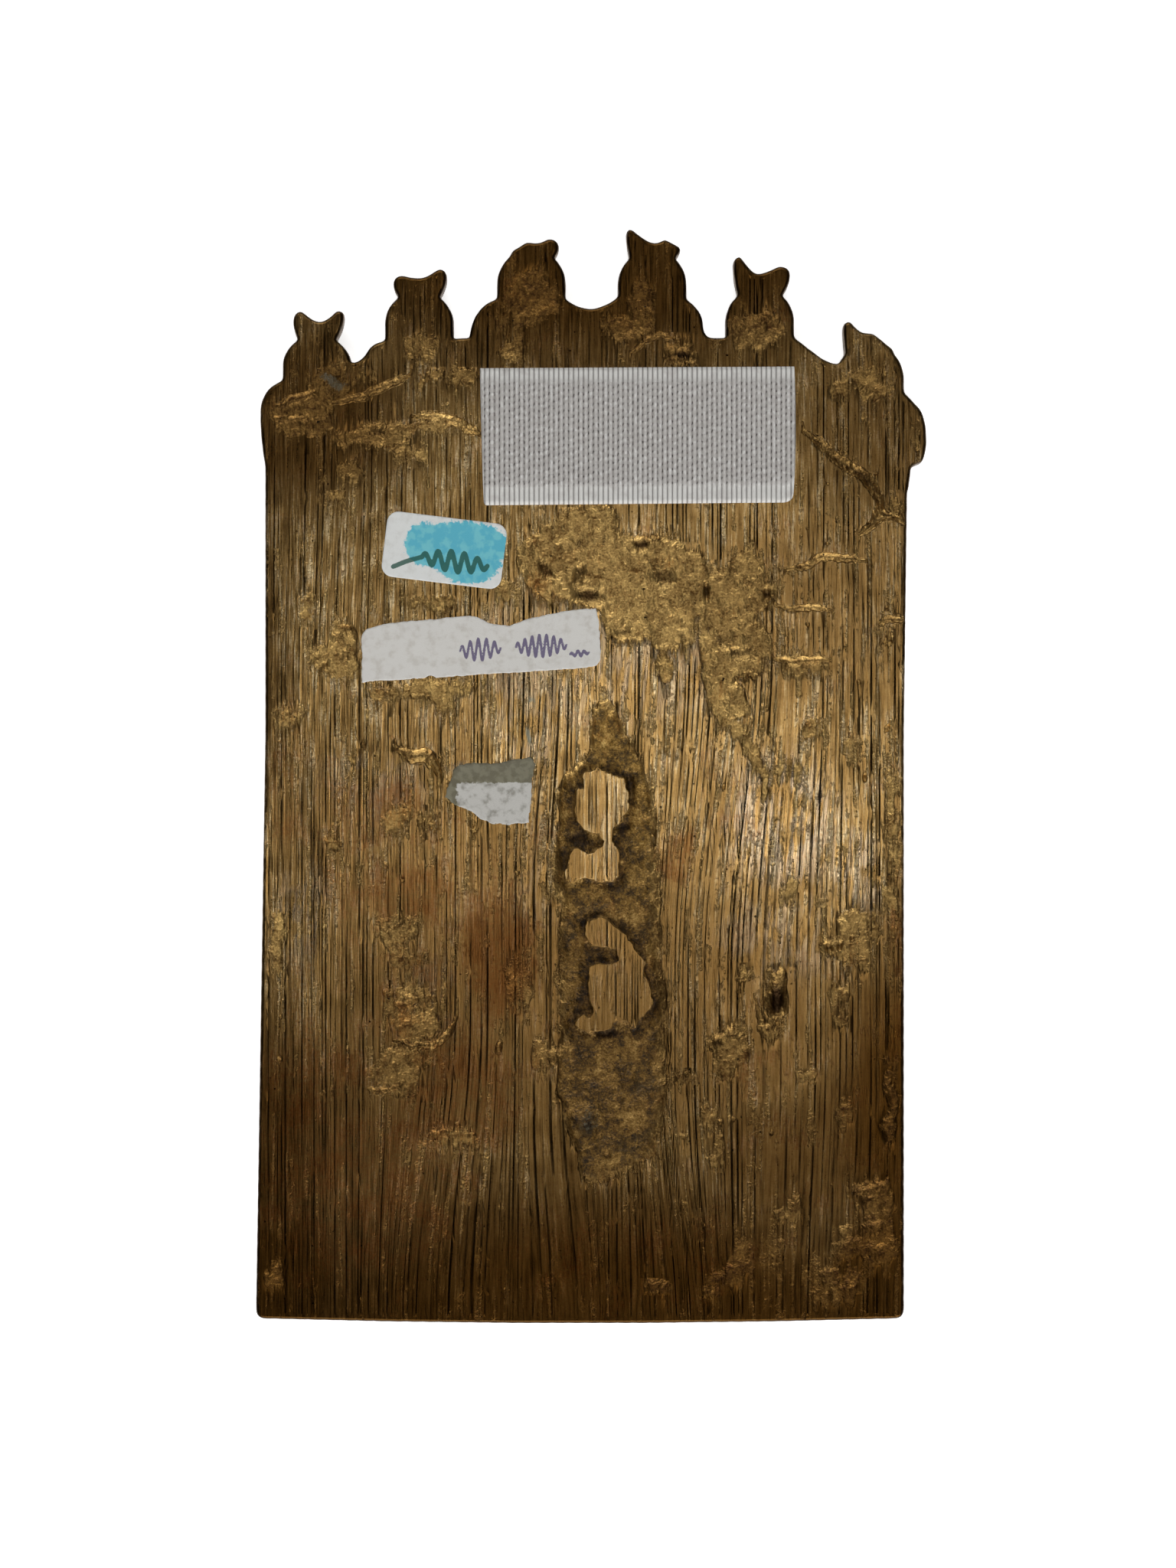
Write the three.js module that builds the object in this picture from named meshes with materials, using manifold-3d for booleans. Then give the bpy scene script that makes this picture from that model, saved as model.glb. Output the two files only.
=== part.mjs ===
// A cast brass travel icon, lying on its carved face with the filed back up.
// Millimetres. +Y points to the crest, +X to the right of someone who looks down at the back, and z = 0 is
// the plane of the front rim that it lies on.
import * as THREE from "three";
import { mergeVertices } from "three/addons/utils/BufferGeometryUtils.js";
import Module from "manifold-3d";

const wasm = await Module();
wasm.setup();

// Driving dimensions of the casting
const THICK = 6;
const FIELD_FLOOR = 3;
const CREST_FACE = 1.4;
const CURVE_STEPS = 5;
const PLATE = {
  leftTop: -59.6,
  leftBottom: -61.3,
  leanEnd: 7.6,
  right: 57.1,
  rightTop: 57.9,
  rightLeanStart: 7.6,
  top: 68,
  bottom: -99.1,
  bow: 0.85,
  corner: 1.6,
};
const RIM = 5.5;
const FIELD_TOP = 64;
const LIP = 1.6;
const LIP_DEPTH = 1.1;

// The stepped base that carries the cherubs
const LEDGE = { low: 75.6, middle: 80.1, top: 87.3, dip: 85.4, foot: 60, end: 50 };

// A cherub's common form: folded side wings below the neck and two upright wing tips above it
const CHERUB = { half: 6.2, widest: 4.6, bulge: 2, foot: 15 };

// Each cherub has its own worn or broken tips. Tips and valley are measured from the middle of its neck,
// and a tip is given by its outer and its inner corner.
const CHERUBS = [
  {
    x: -50.2, neck: 79.8, neckHalf: 3.4,
    left: [[-4.3, 3.4], [-2.8, 5.2]], valley: [0.6, 3.2], right: [[4.9, 4.6], [3.7, 5.3]],
  },
  {
    x: -31.5, neck: 87.6, neckHalf: 3.7,
    left: [[-4.7, 2.3], [-3.0, 3.9]], valley: [0, 3.4], right: [[5.0, 3.9], [3.6, 5.1]],
  },
  {
    x: -11.0, neck: 94.8, neckHalf: 4.1,
    left: [[-3.6, 1.1], [-0.8, 2.8]], valley: [0.9, 2.6], right: [[5.0, 2.0], [3.1, 3.4]],
  },
  {
    x: 11.1, neck: 94.7, neckHalf: 4.1,
    left: [[-4.7, 4.6], [-3.8, 5.3]], valley: [0.6, 2.7], right: [[5.2, 1.9], [2.3, 3.4]],
  },
  {
    x: 30.8, neck: 87.9, neckHalf: 4.0,
    left: [[-4.8, 5.7], [-3.6, 7.1]], valley: [-0.4, 3.9], right: [[5.5, 3.9], [3.4, 5.3]],
  },
  {
    x: 50.9, neck: 77.2, neckHalf: 4.4,
    left: [[-4.8, 5.1], [-3.6, 5.9]], valley: [-1.1, 3.8], right: [[4.3, 0.7], [0.6, 3.7]],
  },
];
const BROKEN_SPAN = 2.6;

// Casting flaws sunk into the back
const SINK = { top: 15, bottom: -76, depth: 1.1 };
const ISLANDS = [
  { x: 1.8, y: -5, across: 4.8, along: 6.3 },
  { x: 0.3, y: -16.4, across: 5, along: 3 },
  { x: 2.4, y: -38.5, across: 4.2, along: 7.6 },
  { x: 6.8, y: -37.5, across: 4.2, along: 8 },
];
const SCOOPS = [
  { x: 33.7, y: -39.7, across: 2.1, along: 5.2, depth: 1 },
  { x: -31.8, y: -43.6, across: 4.6, along: 5.6, depth: 0.6 },
  { x: -25.2, y: -65.9, across: 5, along: 1.5, depth: 0.5 },
  { x: 55.6, y: -61.5, across: 1.8, along: 5.6, depth: 0.8 },
];
const CRACKS = [
  {
    depth: 0.7, width: 1.5,
    path: [[41.3, 61.3], [44, 58.6], [48.9, 55.5], [52.2, 51.9], [52.9, 48.5], [57, 46.2]],
  },
  { depth: 0.5, width: 1.1, path: [[52.6, 49.4], [51.4, 46], [48.9, 44.2]] },
  { depth: 0.5, width: 1.2, path: [[35.3, 37.6], [39.1, 38.6], [42.2, 40], [50.3, 39.4]] },
];

// The relief on the front: a robed saint with a book, under a band of cloud
const SAINT = { x: 3, feet: -76, hem: -71, shoulder: 27, head: 36.5, halo: 11.5 };
const ROBE_RISE = 1.5;
const FOLD_COUNT = 9;
const CLOUD_COUNT = 9;

// What is stuck on the back
const TAPE = { left: -20, right: 37.3, top: 74.8, bottom: 50, corner: 1.6, base: 0.7, rise: 1.9 };
const TAPE_EDGE = { top: 2.5, bottom: 3.3 };
const TAPE_RIBS = 64;
const STICKER = { x: -26.9, y: 41.3, width: 22, height: 12, corner: 2.1, tilt: -7 };
const PAPER = 0.2;

function solidOf(geometry) {
  const bare = geometry.index ? geometry.toNonIndexed() : geometry;
  bare.deleteAttribute("normal");
  bare.deleteAttribute("uv");
  const merged = mergeVertices(bare, 1e-5);
  const vertProperties = new Float32Array(merged.attributes.position.array);
  const triVerts = new Uint32Array(merged.index.array);
  return new wasm.Manifold(new wasm.Mesh({ numProp: 3, vertProperties, triVerts }));
}

function geometryOf(solid) {
  const mesh = solid.getMesh();
  const geometry = new THREE.BufferGeometry();
  geometry.setAttribute("position", new THREE.BufferAttribute(new Float32Array(mesh.vertProperties), 3));
  geometry.setIndex(new THREE.BufferAttribute(new Uint32Array(mesh.triVerts), 1));
  geometry.computeVertexNormals();
  return geometry;
}

// A flat-topped solid of the given outline between two heights
function prism(shape, low, high, curveSegments = CURVE_STEPS) {
  const depth = high - low;
  const geometry = new THREE.ExtrudeGeometry(shape, { depth, bevelEnabled: false, curveSegments });
  geometry.translate(0, 0, low);
  return solidOf(geometry);
}

// A piece of relief on the front: it grows down from inside the plate and its lower edge is chamfered
function relief(shape, face, root = FIELD_FLOOR + 0.4, chamfer = 0.6, curveSegments = 4) {
  const geometry = new THREE.ExtrudeGeometry(shape, {
    depth: root - face - chamfer,
    bevelThickness: chamfer,
    bevelSize: chamfer,
    bevelOffset: -chamfer,
    bevelSegments: 1,
    curveSegments,
  });
  geometry.translate(0, 0, face + chamfer);
  return solidOf(geometry);
}

function ellipse(x, y, across, along) {
  return new THREE.Shape().absellipse(x, y, across, along, 0, 2 * Math.PI);
}

function dome(x, y, z, across, along, rise) {
  const geometry = new THREE.SphereGeometry(1, 14, 10);
  geometry.scale(across, along, rise);
  geometry.translate(x, y, z);
  return solidOf(geometry);
}

function joined(solids) {
  return solids.reduce((whole, next) => whole.add(next));
}

function plateShape(inset = 0, top = PLATE.top) {
  const bottom = PLATE.bottom + inset;
  const left = PLATE.leftBottom + inset;
  const right = PLATE.right - inset;
  const middle = (left + right) / 2;
  const shape = new THREE.Shape();
  shape.moveTo(left + PLATE.corner, bottom);
  shape.quadraticCurveTo(middle, bottom - 2 * PLATE.bow, right - PLATE.corner, bottom);
  shape.quadraticCurveTo(right, bottom, right, bottom + PLATE.corner);
  shape.lineTo(right, PLATE.rightLeanStart);
  shape.lineTo(PLATE.rightTop - inset, top);
  shape.lineTo(PLATE.leftTop + inset, top);
  shape.lineTo(PLATE.leftTop + inset, PLATE.leanEnd);
  shape.lineTo(left, bottom + PLATE.corner);
  shape.quadraticCurveTo(left, bottom, left + PLATE.corner, bottom);
  return shape;
}

function leftShoulderShape() {
  const shape = new THREE.Shape();
  shape.moveTo(-LEDGE.end, LEDGE.foot - 6);
  shape.lineTo(PLATE.leftTop, 56.6);
  shape.quadraticCurveTo(-60.6, 62, -60.5, 67.1);
  shape.quadraticCurveTo(-60.2, 70.8, -56.8, 72.2);
  shape.lineTo(-LEDGE.end, LEDGE.low);
  return shape;
}

// The right shoulder stands further out than the edge below it and ends there in a small step
function rightShoulderShape() {
  const shape = new THREE.Shape();
  shape.moveTo(LEDGE.end, LEDGE.foot - 10);
  shape.lineTo(PLATE.rightTop, 52.3);
  shape.lineTo(58.4, 56.5);
  shape.quadraticCurveTo(58.8, 57.1, 60.4, 57.4);
  shape.quadraticCurveTo(61.3, 59.2, 61.2, 62);
  shape.quadraticCurveTo(61.1, 66.4, 59.4, 67.8);
  shape.lineTo(57, 70.3);
  shape.lineTo(LEDGE.end, LEDGE.low);
  return shape;
}

function ledgeShape() {
  const shape = new THREE.Shape();
  shape.moveTo(-LEDGE.end, LEDGE.foot);
  shape.lineTo(-LEDGE.end, LEDGE.low);
  shape.lineTo(-43.2, LEDGE.low);
  shape.quadraticCurveTo(-41.7, 76, -40.8, 77.9);
  shape.quadraticCurveTo(-40.1, 79.1, -37.8, 79.6);
  shape.lineTo(-22.3, LEDGE.middle);
  shape.quadraticCurveTo(-21.8, 85.9, -17.2, LEDGE.top);
  shape.lineTo(-4.9, LEDGE.top);
  shape.quadraticCurveTo(-2.4, LEDGE.dip, 0, LEDGE.dip);
  shape.quadraticCurveTo(2.5, 85.7, 4.9, LEDGE.top + 0.3);
  shape.lineTo(17.1, LEDGE.top);
  shape.quadraticCurveTo(20.6, 85.2, 20.4, 82);
  shape.quadraticCurveTo(20.6, 80.3, 21.8, LEDGE.middle);
  shape.lineTo(36.9, LEDGE.middle + 0.2);
  shape.lineTo(40.8, 77.3);
  shape.quadraticCurveTo(42.8, 75.7, 44.4, LEDGE.low - 0.2);
  shape.lineTo(LEDGE.end, LEDGE.low - 0.2);
  shape.lineTo(LEDGE.end, LEDGE.foot);
  return shape;
}

function cherubShape({ x, neck, neckHalf, left, valley, right }) {
  const at = ([across, up]) => [x + across, neck + up];
  const widest = neck - CHERUB.widest;
  const shape = new THREE.Shape();
  const tip = (from, to) => {
    const [fromX, fromY] = at(from);
    const [toX, toY] = at(to);
    if (Math.hypot(toX - fromX, toY - fromY) > BROKEN_SPAN) {
      shape.lineTo(toX, toY);
      return;
    }
    const outerX = Math.abs(from[0]) > Math.abs(to[0]) ? fromX : toX;
    shape.quadraticCurveTo(outerX, Math.max(fromY, toY), toX, toY);
  };
  const [leftX, leftY] = at(left[0]);
  const [valleyX, valleyY] = at(valley);
  const [innerLeftX] = at(left[1]);
  const [innerX, innerY] = at(right[1]);
  shape.moveTo(x - CHERUB.half, neck - CHERUB.foot);
  shape.lineTo(x - CHERUB.half, widest);
  shape.quadraticCurveTo(x - CHERUB.half, neck - CHERUB.bulge, x - neckHalf, neck);
  shape.quadraticCurveTo(leftX, (neck + leftY) / 2, leftX, leftY);
  tip(left[0], left[1]);
  shape.quadraticCurveTo(valleyX + (innerLeftX - valleyX) * 0.35, valleyY, valleyX, valleyY);
  shape.quadraticCurveTo(valleyX + (innerX - valleyX) * 0.35, valleyY, innerX, innerY);
  tip(right[1], right[0]);
  shape.quadraticCurveTo(at(right[0])[0], (neck + at(right[0])[1]) / 2, x + neckHalf, neck);
  shape.quadraticCurveTo(x + CHERUB.half, neck - CHERUB.bulge, x + CHERUB.half, widest);
  shape.lineTo(x + CHERUB.half, neck - CHERUB.foot);
  return shape;
}

// The long sunken place where the thickest part of the relief drew the metal in as it cooled
function sinkShape() {
  const shape = new THREE.Shape();
  shape.moveTo(1.8, SINK.top);
  shape.splineThru([[7.8, 2.2], [11, -8], [11.8, -38], [13.9, -58], [12.1, -68.8], [4.5, -73.7]].map(point));
  shape.lineTo(0.1, SINK.bottom);
  shape.splineThru([[-2.2, -72], [-6.4, -57.6], [-7, -26], [-6.6, -1], [-3, 8]].map(point));
  shape.lineTo(1.8, SINK.top);
  return shape;
}

function point([x, y]) {
  return new THREE.Vector2(x, y);
}

// A crack is a thin crooked lens along its path
function crackShape({ path, width }) {
  const curve = new THREE.SplineCurve(path.map(point));
  const steps = path.length * 3;
  const leftSide = [];
  const rightSide = [];
  for (let step = 1; step < steps; step += 1) {
    const t = step / steps;
    const middle = curve.getPoint(t);
    const along = curve.getTangent(t);
    const half = 0.5 * width * Math.sin(Math.PI * t) ** 0.5;
    leftSide.push(new THREE.Vector2(middle.x - along.y * half, middle.y + along.x * half));
    rightSide.unshift(new THREE.Vector2(middle.x + along.y * half, middle.y - along.x * half));
  }
  return new THREE.Shape([curve.getPoint(0), ...leftSide, curve.getPoint(1), ...rightSide]);
}

function backFlaws() {
  const above = THICK + 1;
  const sink = prism(sinkShape(), THICK - SINK.depth, above, 3);
  const islands = ISLANDS.map(({ x, y, across, along }) => prism(ellipse(x, y, across, along), 0, above, 14));
  const scoops = SCOOPS.map(({ x, y, across, along, depth }) => (
    prism(ellipse(x, y, across, along), THICK - depth, above, 12)
  ));
  const cracks = CRACKS.map((crack) => prism(crackShape(crack), THICK - crack.depth, above));
  return joined([sink.subtract(joined(islands)), ...scoops, ...cracks]);
}

// The front: a sunken field inside a stepped rim, with the saint and the clouds standing on its floor
function frontField() {
  const below = -1;
  return prism(plateShape(RIM, FIELD_TOP), below, FIELD_FLOOR)
    .add(prism(plateShape(RIM - LIP, FIELD_TOP + LIP), below, LIP_DEPTH));
}

function robeShape(shoulder, waist, hem, top, bottom) {
  const { x } = SAINT;
  const middle = (top + bottom) / 2;
  const shape = new THREE.Shape();
  shape.moveTo(x - 4, top + 2);
  shape.quadraticCurveTo(x - shoulder, top, x - shoulder, top - 12);
  shape.quadraticCurveTo(x - waist, middle + 12, x - waist, middle);
  shape.quadraticCurveTo(x - hem, middle - 20, x - hem, bottom);
  shape.quadraticCurveTo(x, bottom - 4, x + hem, bottom);
  shape.quadraticCurveTo(x + hem, middle - 20, x + waist, middle);
  shape.quadraticCurveTo(x + waist, middle + 12, x + shoulder, top - 12);
  shape.quadraticCurveTo(x + shoulder, top, x + 4, top + 2);
  return shape;
}

// A fold or a lock is a slender leaf between two points
function leafShape(x0, y0, x1, y1, width) {
  const middle = new THREE.Vector2((x0 + x1) / 2, (y0 + y1) / 2);
  const along = new THREE.Vector2(x1 - x0, y1 - y0).normalize();
  const shape = new THREE.Shape();
  shape.moveTo(x0, y0);
  shape.quadraticCurveTo(middle.x - along.y * width, middle.y + along.x * width, x1, y1);
  shape.quadraticCurveTo(middle.x + along.y * width, middle.y - along.x * width, x0, y0);
  return shape;
}

function capsule(x0, y0, x1, y1, radius, rise) {
  const length = Math.hypot(x1 - x0, y1 - y0);
  const geometry = new THREE.CapsuleGeometry(radius, length, 4, 10);
  geometry.scale(1, 1, rise / radius);
  geometry.rotateZ(Math.atan2(y1 - y0, x1 - x0) - Math.PI / 2);
  geometry.translate((x0 + x1) / 2, (y0 + y1) / 2, FIELD_FLOOR);
  return solidOf(geometry);
}

function saint() {
  const { x } = SAINT;
  const middle = (SAINT.shoulder + SAINT.hem) / 2;
  const parts = [
    relief(ellipse(x, SAINT.head, SAINT.halo, SAINT.halo), FIELD_FLOOR - 0.7, undefined, 0.3, 16),
    relief(robeShape(15, 17, 20, SAINT.shoulder, SAINT.hem), FIELD_FLOOR - ROBE_RISE),
    relief(robeShape(8, 10, 13, SAINT.shoulder - 2, SAINT.hem - 2), FIELD_FLOOR - ROBE_RISE - 0.5),
    dome(x, SAINT.head - 1, FIELD_FLOOR, 6.3, 8, 2),
    dome(x, SAINT.head + 0.3, FIELD_FLOOR, 4.6, 6.2, 2.6),
    dome(x - 6, SAINT.feet, FIELD_FLOOR, 3.6, 2.6, 1.8),
    dome(x + 6, SAINT.feet, FIELD_FLOOR, 3.6, 2.6, 1.8),
    capsule(x - 14, 12, x - 3, 4, 3.4, 2.5),
    capsule(x + 14, 12, x + 5, 0, 3.4, 2.5),
  ];
  const book = new THREE.BoxGeometry(10, 13, 2.8);
  book.translate(x - 1, 8, FIELD_FLOOR - 1.2);
  parts.push(solidOf(book));
  for (let fold = 0; fold < FOLD_COUNT; fold += 1) {
    const share = fold / (FOLD_COUNT - 1) - 0.5;
    const top = middle + 10 - 30 * Math.abs(share);
    const leaf = leafShape(x + 22 * share, top, x + 36 * share, SAINT.hem + 1, 2);
    parts.push(relief(leaf, FIELD_FLOOR - ROBE_RISE - 0.9, undefined, 0.3, 3));
  }
  return joined(parts);
}

function clouds() {
  const left = PLATE.leftTop + RIM;
  const step = (PLATE.rightTop - PLATE.leftTop - 2 * RIM) / (CLOUD_COUNT - 1);
  const puffs = [];
  for (let puff = 0; puff < CLOUD_COUNT; puff += 1) {
    const rise = 1.2 + 0.4 * (puff % 2);
    const y = FIELD_TOP - 3 * Math.cos((puff / (CLOUD_COUNT - 1) - 0.5) * Math.PI);
    puffs.push(dome(left + step * puff, y, FIELD_FLOOR, step * 0.66, 7, rise));
  }
  return joined(puffs).intersect(prism(plateShape(RIM - 1, FIELD_TOP + 1), 0, THICK - 1));
}

function ground() {
  const mound = new THREE.Shape();
  const left = PLATE.leftBottom + RIM - 1;
  const right = PLATE.right - RIM + 1;
  const low = PLATE.bottom + RIM - 1;
  mound.moveTo(left, low);
  mound.lineTo(right, low);
  mound.lineTo(right, low + 9);
  mound.quadraticCurveTo((left + right) / 2, low + 22, left, low + 9);
  return relief(mound, FIELD_FLOOR - 1.1);
}

// Each cherub's front: a round face between two upright and two folded wings
function cherubFace({ x, neck }) {
  const face = dome(x, neck - 3.4, CREST_FACE, 3, 3.6, 1.3);
  const wings = [];
  for (const side of [-1, 1]) {
    wings.push(relief(leafShape(x + side, neck - 1, x + side * 3.4, neck + 3, 1.6), 0.6, 2, 0.3, 3));
    wings.push(relief(leafShape(x + side * 2.6, neck - 2.6, x + side * 4.6, neck - 8, 2), 0.7, 2, 0.3, 3));
  }
  return joined([face, ...wings]);
}

function plaque() {
  const rim = prism(plateShape(), 0, THICK);
  const crest = joined([
    prism(leftShoulderShape(), CREST_FACE, THICK),
    prism(rightShoulderShape(), CREST_FACE, THICK),
    prism(ledgeShape(), CREST_FACE, THICK),
    ...CHERUBS.map((cherub) => prism(cherubShape(cherub), CREST_FACE, THICK)),
  ]);
  const figures = joined([saint(), clouds(), ground()]);
  return rim.add(crest)
    .subtract(frontField())
    .add(figures)
    .add(joined(CHERUBS.map(cherubFace)))
    .subtract(backFlaws());
}

// Hook tape: a woven base with a flat selvedge along its top and bottom, and ribs of hooks between them
function hookTape() {
  const { left, right, top, bottom, corner, base, rise } = TAPE;
  const outline = new THREE.Shape();
  outline.moveTo(left - 0.4, top - 0.3);
  outline.lineTo(right - 0.3, top);
  outline.quadraticCurveTo(right + 0.4, top - 11, right - 0.4, bottom + corner);
  outline.quadraticCurveTo(right - 0.5, bottom + 0.2, right - 0.5 - corner, bottom);
  outline.lineTo(left + 0.3 + corner / 2, bottom - 0.5);
  outline.quadraticCurveTo(left + 0.3, bottom - 0.6, left + 0.3, bottom - 0.5 + corner / 2);
  const pitch = (right - left) / TAPE_RIBS;
  const low = base / 2;
  const comb = new THREE.Shape();
  comb.moveTo(left - 1, low);
  for (let rib = 0; rib < TAPE_RIBS; rib += 1) {
    const start = left + rib * pitch;
    comb.lineTo(start + pitch * 0.2, base);
    comb.lineTo(start + pitch * 0.35, rise);
    comb.lineTo(start + pitch * 0.85, rise);
    comb.lineTo(start + pitch, base);
  }
  comb.lineTo(right + 1, low);
  const hooks = new THREE.ExtrudeGeometry(comb, {
    depth: top - TAPE_EDGE.top - (bottom + TAPE_EDGE.bottom),
    bevelEnabled: false,
  });
  hooks.rotateX(Math.PI / 2);
  hooks.translate(0, top - TAPE_EDGE.top, THICK);
  const field = solidOf(hooks).intersect(prism(outline, THICK, THICK + rise + 1));
  return prism(outline, THICK, THICK + base).add(field);
}

function roundedRectangle(width, height, corner) {
  const right = width / 2;
  const top = height / 2;
  const shape = new THREE.Shape();
  shape.moveTo(-right + corner, -top);
  shape.absarc(right - corner, -top + corner, corner, -Math.PI / 2, 0);
  shape.absarc(right - corner, top - corner, corner, 0, Math.PI / 2);
  shape.absarc(-right + corner, top - corner, corner, Math.PI / 2, Math.PI);
  shape.absarc(-right + corner, -top + corner, corner, Math.PI, 1.5 * Math.PI);
  return shape;
}

// A strip of paper, cut straight on its right and torn along its top and bottom
function tornLabelShape() {
  const shape = new THREE.Shape();
  shape.moveTo(-42.1, 25.8);
  shape.splineThru([[-40.9, 27.1], [-36, 28.2], [-28.7, 28.9], [-21.5, 29.4], [-18.9, 28.2]].map(point));
  shape.splineThru([[-15.2, 27.7], [-11.8, 28.8], [-7.6, 29.8], [-2.7, 30.6], [1, 30.9]].map(point));
  shape.lineTo(1.6, 28.2);
  shape.lineTo(1.9, 22);
  shape.quadraticCurveTo(1.8, 20.2, 0, 19.8);
  shape.lineTo(-4.5, 19.4);
  shape.lineTo(-28.4, 17.9);
  shape.lineTo(-29.5, 18.3);
  shape.lineTo(-30.6, 17.8);
  shape.lineTo(-42.1, 17);
  return shape;
}

function remnantShape() {
  const shape = new THREE.Shape();
  shape.moveTo(-25.4, 1.2);
  shape.splineThru([[-23.6, 2.6], [-17, 2.8], [-10.6, 3.5], [-10.6, -1], [-11.1, -8.7]].map(point));
  shape.splineThru([[-15.9, -9.1], [-20, -8.3], [-22, -6.7], [-25.1, -5.3], [-27.1, -3.9]].map(point));
  return shape;
}

function piece(name, solid, colour, roughness, metalness) {
  const material = new THREE.MeshStandardMaterial({ color: colour, roughness, metalness });
  const mesh = new THREE.Mesh(geometryOf(solid), material);
  mesh.name = name;
  return mesh;
}

const sticker = piece(
  "small_sticker",
  prism(roundedRectangle(STICKER.width, STICKER.height, STICKER.corner), 0, PAPER),
  "#dfe3df", 0.6, 0,
);
sticker.position.set(STICKER.x, STICKER.y, THICK);
sticker.rotation.z = THREE.MathUtils.degToRad(STICKER.tilt);

const icon = new THREE.Group();
icon.add(
  piece("icon_plaque", plaque(), "#7a6038", 0.45, 1),
  piece("hook_tape", hookTape(), "#b9b3b1", 0.8, 0),
  sticker,
  piece("torn_label", prism(tornLabelShape(), THICK, THICK + PAPER, 3), "#e4e2da", 0.8, 0),
  piece("label_remnant", prism(remnantShape(), THICK, THICK + PAPER, 3), "#b4b5a8", 0.9, 0),
);
export default icon;
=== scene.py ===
"""A cast brass travel icon that lies on its carved face, with its coarsely filed back up.

Lengths are in millimetres until a mesh is made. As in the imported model, +Y points to the crest, +X to the right
of someone who looks down at the back, and z = 0 is the surface that the icon lies on.
"""

import bpy
import numpy as np
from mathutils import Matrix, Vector, geometry, kdtree
from mathutils.bvhtree import BVHTree


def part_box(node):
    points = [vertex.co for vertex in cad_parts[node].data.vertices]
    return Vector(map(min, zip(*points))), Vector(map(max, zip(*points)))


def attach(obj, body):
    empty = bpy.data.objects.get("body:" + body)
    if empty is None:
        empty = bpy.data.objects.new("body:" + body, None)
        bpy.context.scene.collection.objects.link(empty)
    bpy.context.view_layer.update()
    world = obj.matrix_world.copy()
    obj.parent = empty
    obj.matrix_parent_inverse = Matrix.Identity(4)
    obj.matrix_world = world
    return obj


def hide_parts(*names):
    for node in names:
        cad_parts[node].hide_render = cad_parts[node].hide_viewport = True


MM = 0.001
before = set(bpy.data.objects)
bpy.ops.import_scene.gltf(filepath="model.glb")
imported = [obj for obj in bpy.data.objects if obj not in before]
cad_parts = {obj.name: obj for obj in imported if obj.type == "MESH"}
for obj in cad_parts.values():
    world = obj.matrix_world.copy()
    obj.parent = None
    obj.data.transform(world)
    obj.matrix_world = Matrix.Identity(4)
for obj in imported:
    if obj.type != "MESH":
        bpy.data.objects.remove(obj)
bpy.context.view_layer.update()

# The view from straight above: the part of the back's plane that the picture takes in
VIEW_TALL = 286.4
VIEW_MIDDLE = (-0.63, -1.4)
CAMERA_HEIGHT = 580.0

# The plaque's main heights
BACK = 6.0
EDGE_ROUND = 0.55
SECTION_HEIGHT = 3.5
BACK_SECTION_HEIGHT = 6.3

# File marks: how far apart they are, how wide and deep, and how long a mark keeps its depth
MARK_PITCH = 0.84
MARK_WIDTH = 0.17
MARK_DEPTH = 0.095
FACET_TILT = 0.012
MARK_KNOT = 9.0
ROW_STEP = 3.2

# Where the file was held at a slant: middle and reach across, sideways shift, lower and upper end
SLANTS = [
    (27, 24, -5.0, -36, 24),
    (-9, 9, -2.2, -20, 17),
    (-26, 18, -4.6, -99, -44),
    (-4, 9, 2.6, -99, -60),
    (18, 16, 3.6, -102, -56),
    (44, 14, -1.5, -99, -50),
    (-45, 16, -1.2, 15, 62),
]

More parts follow.
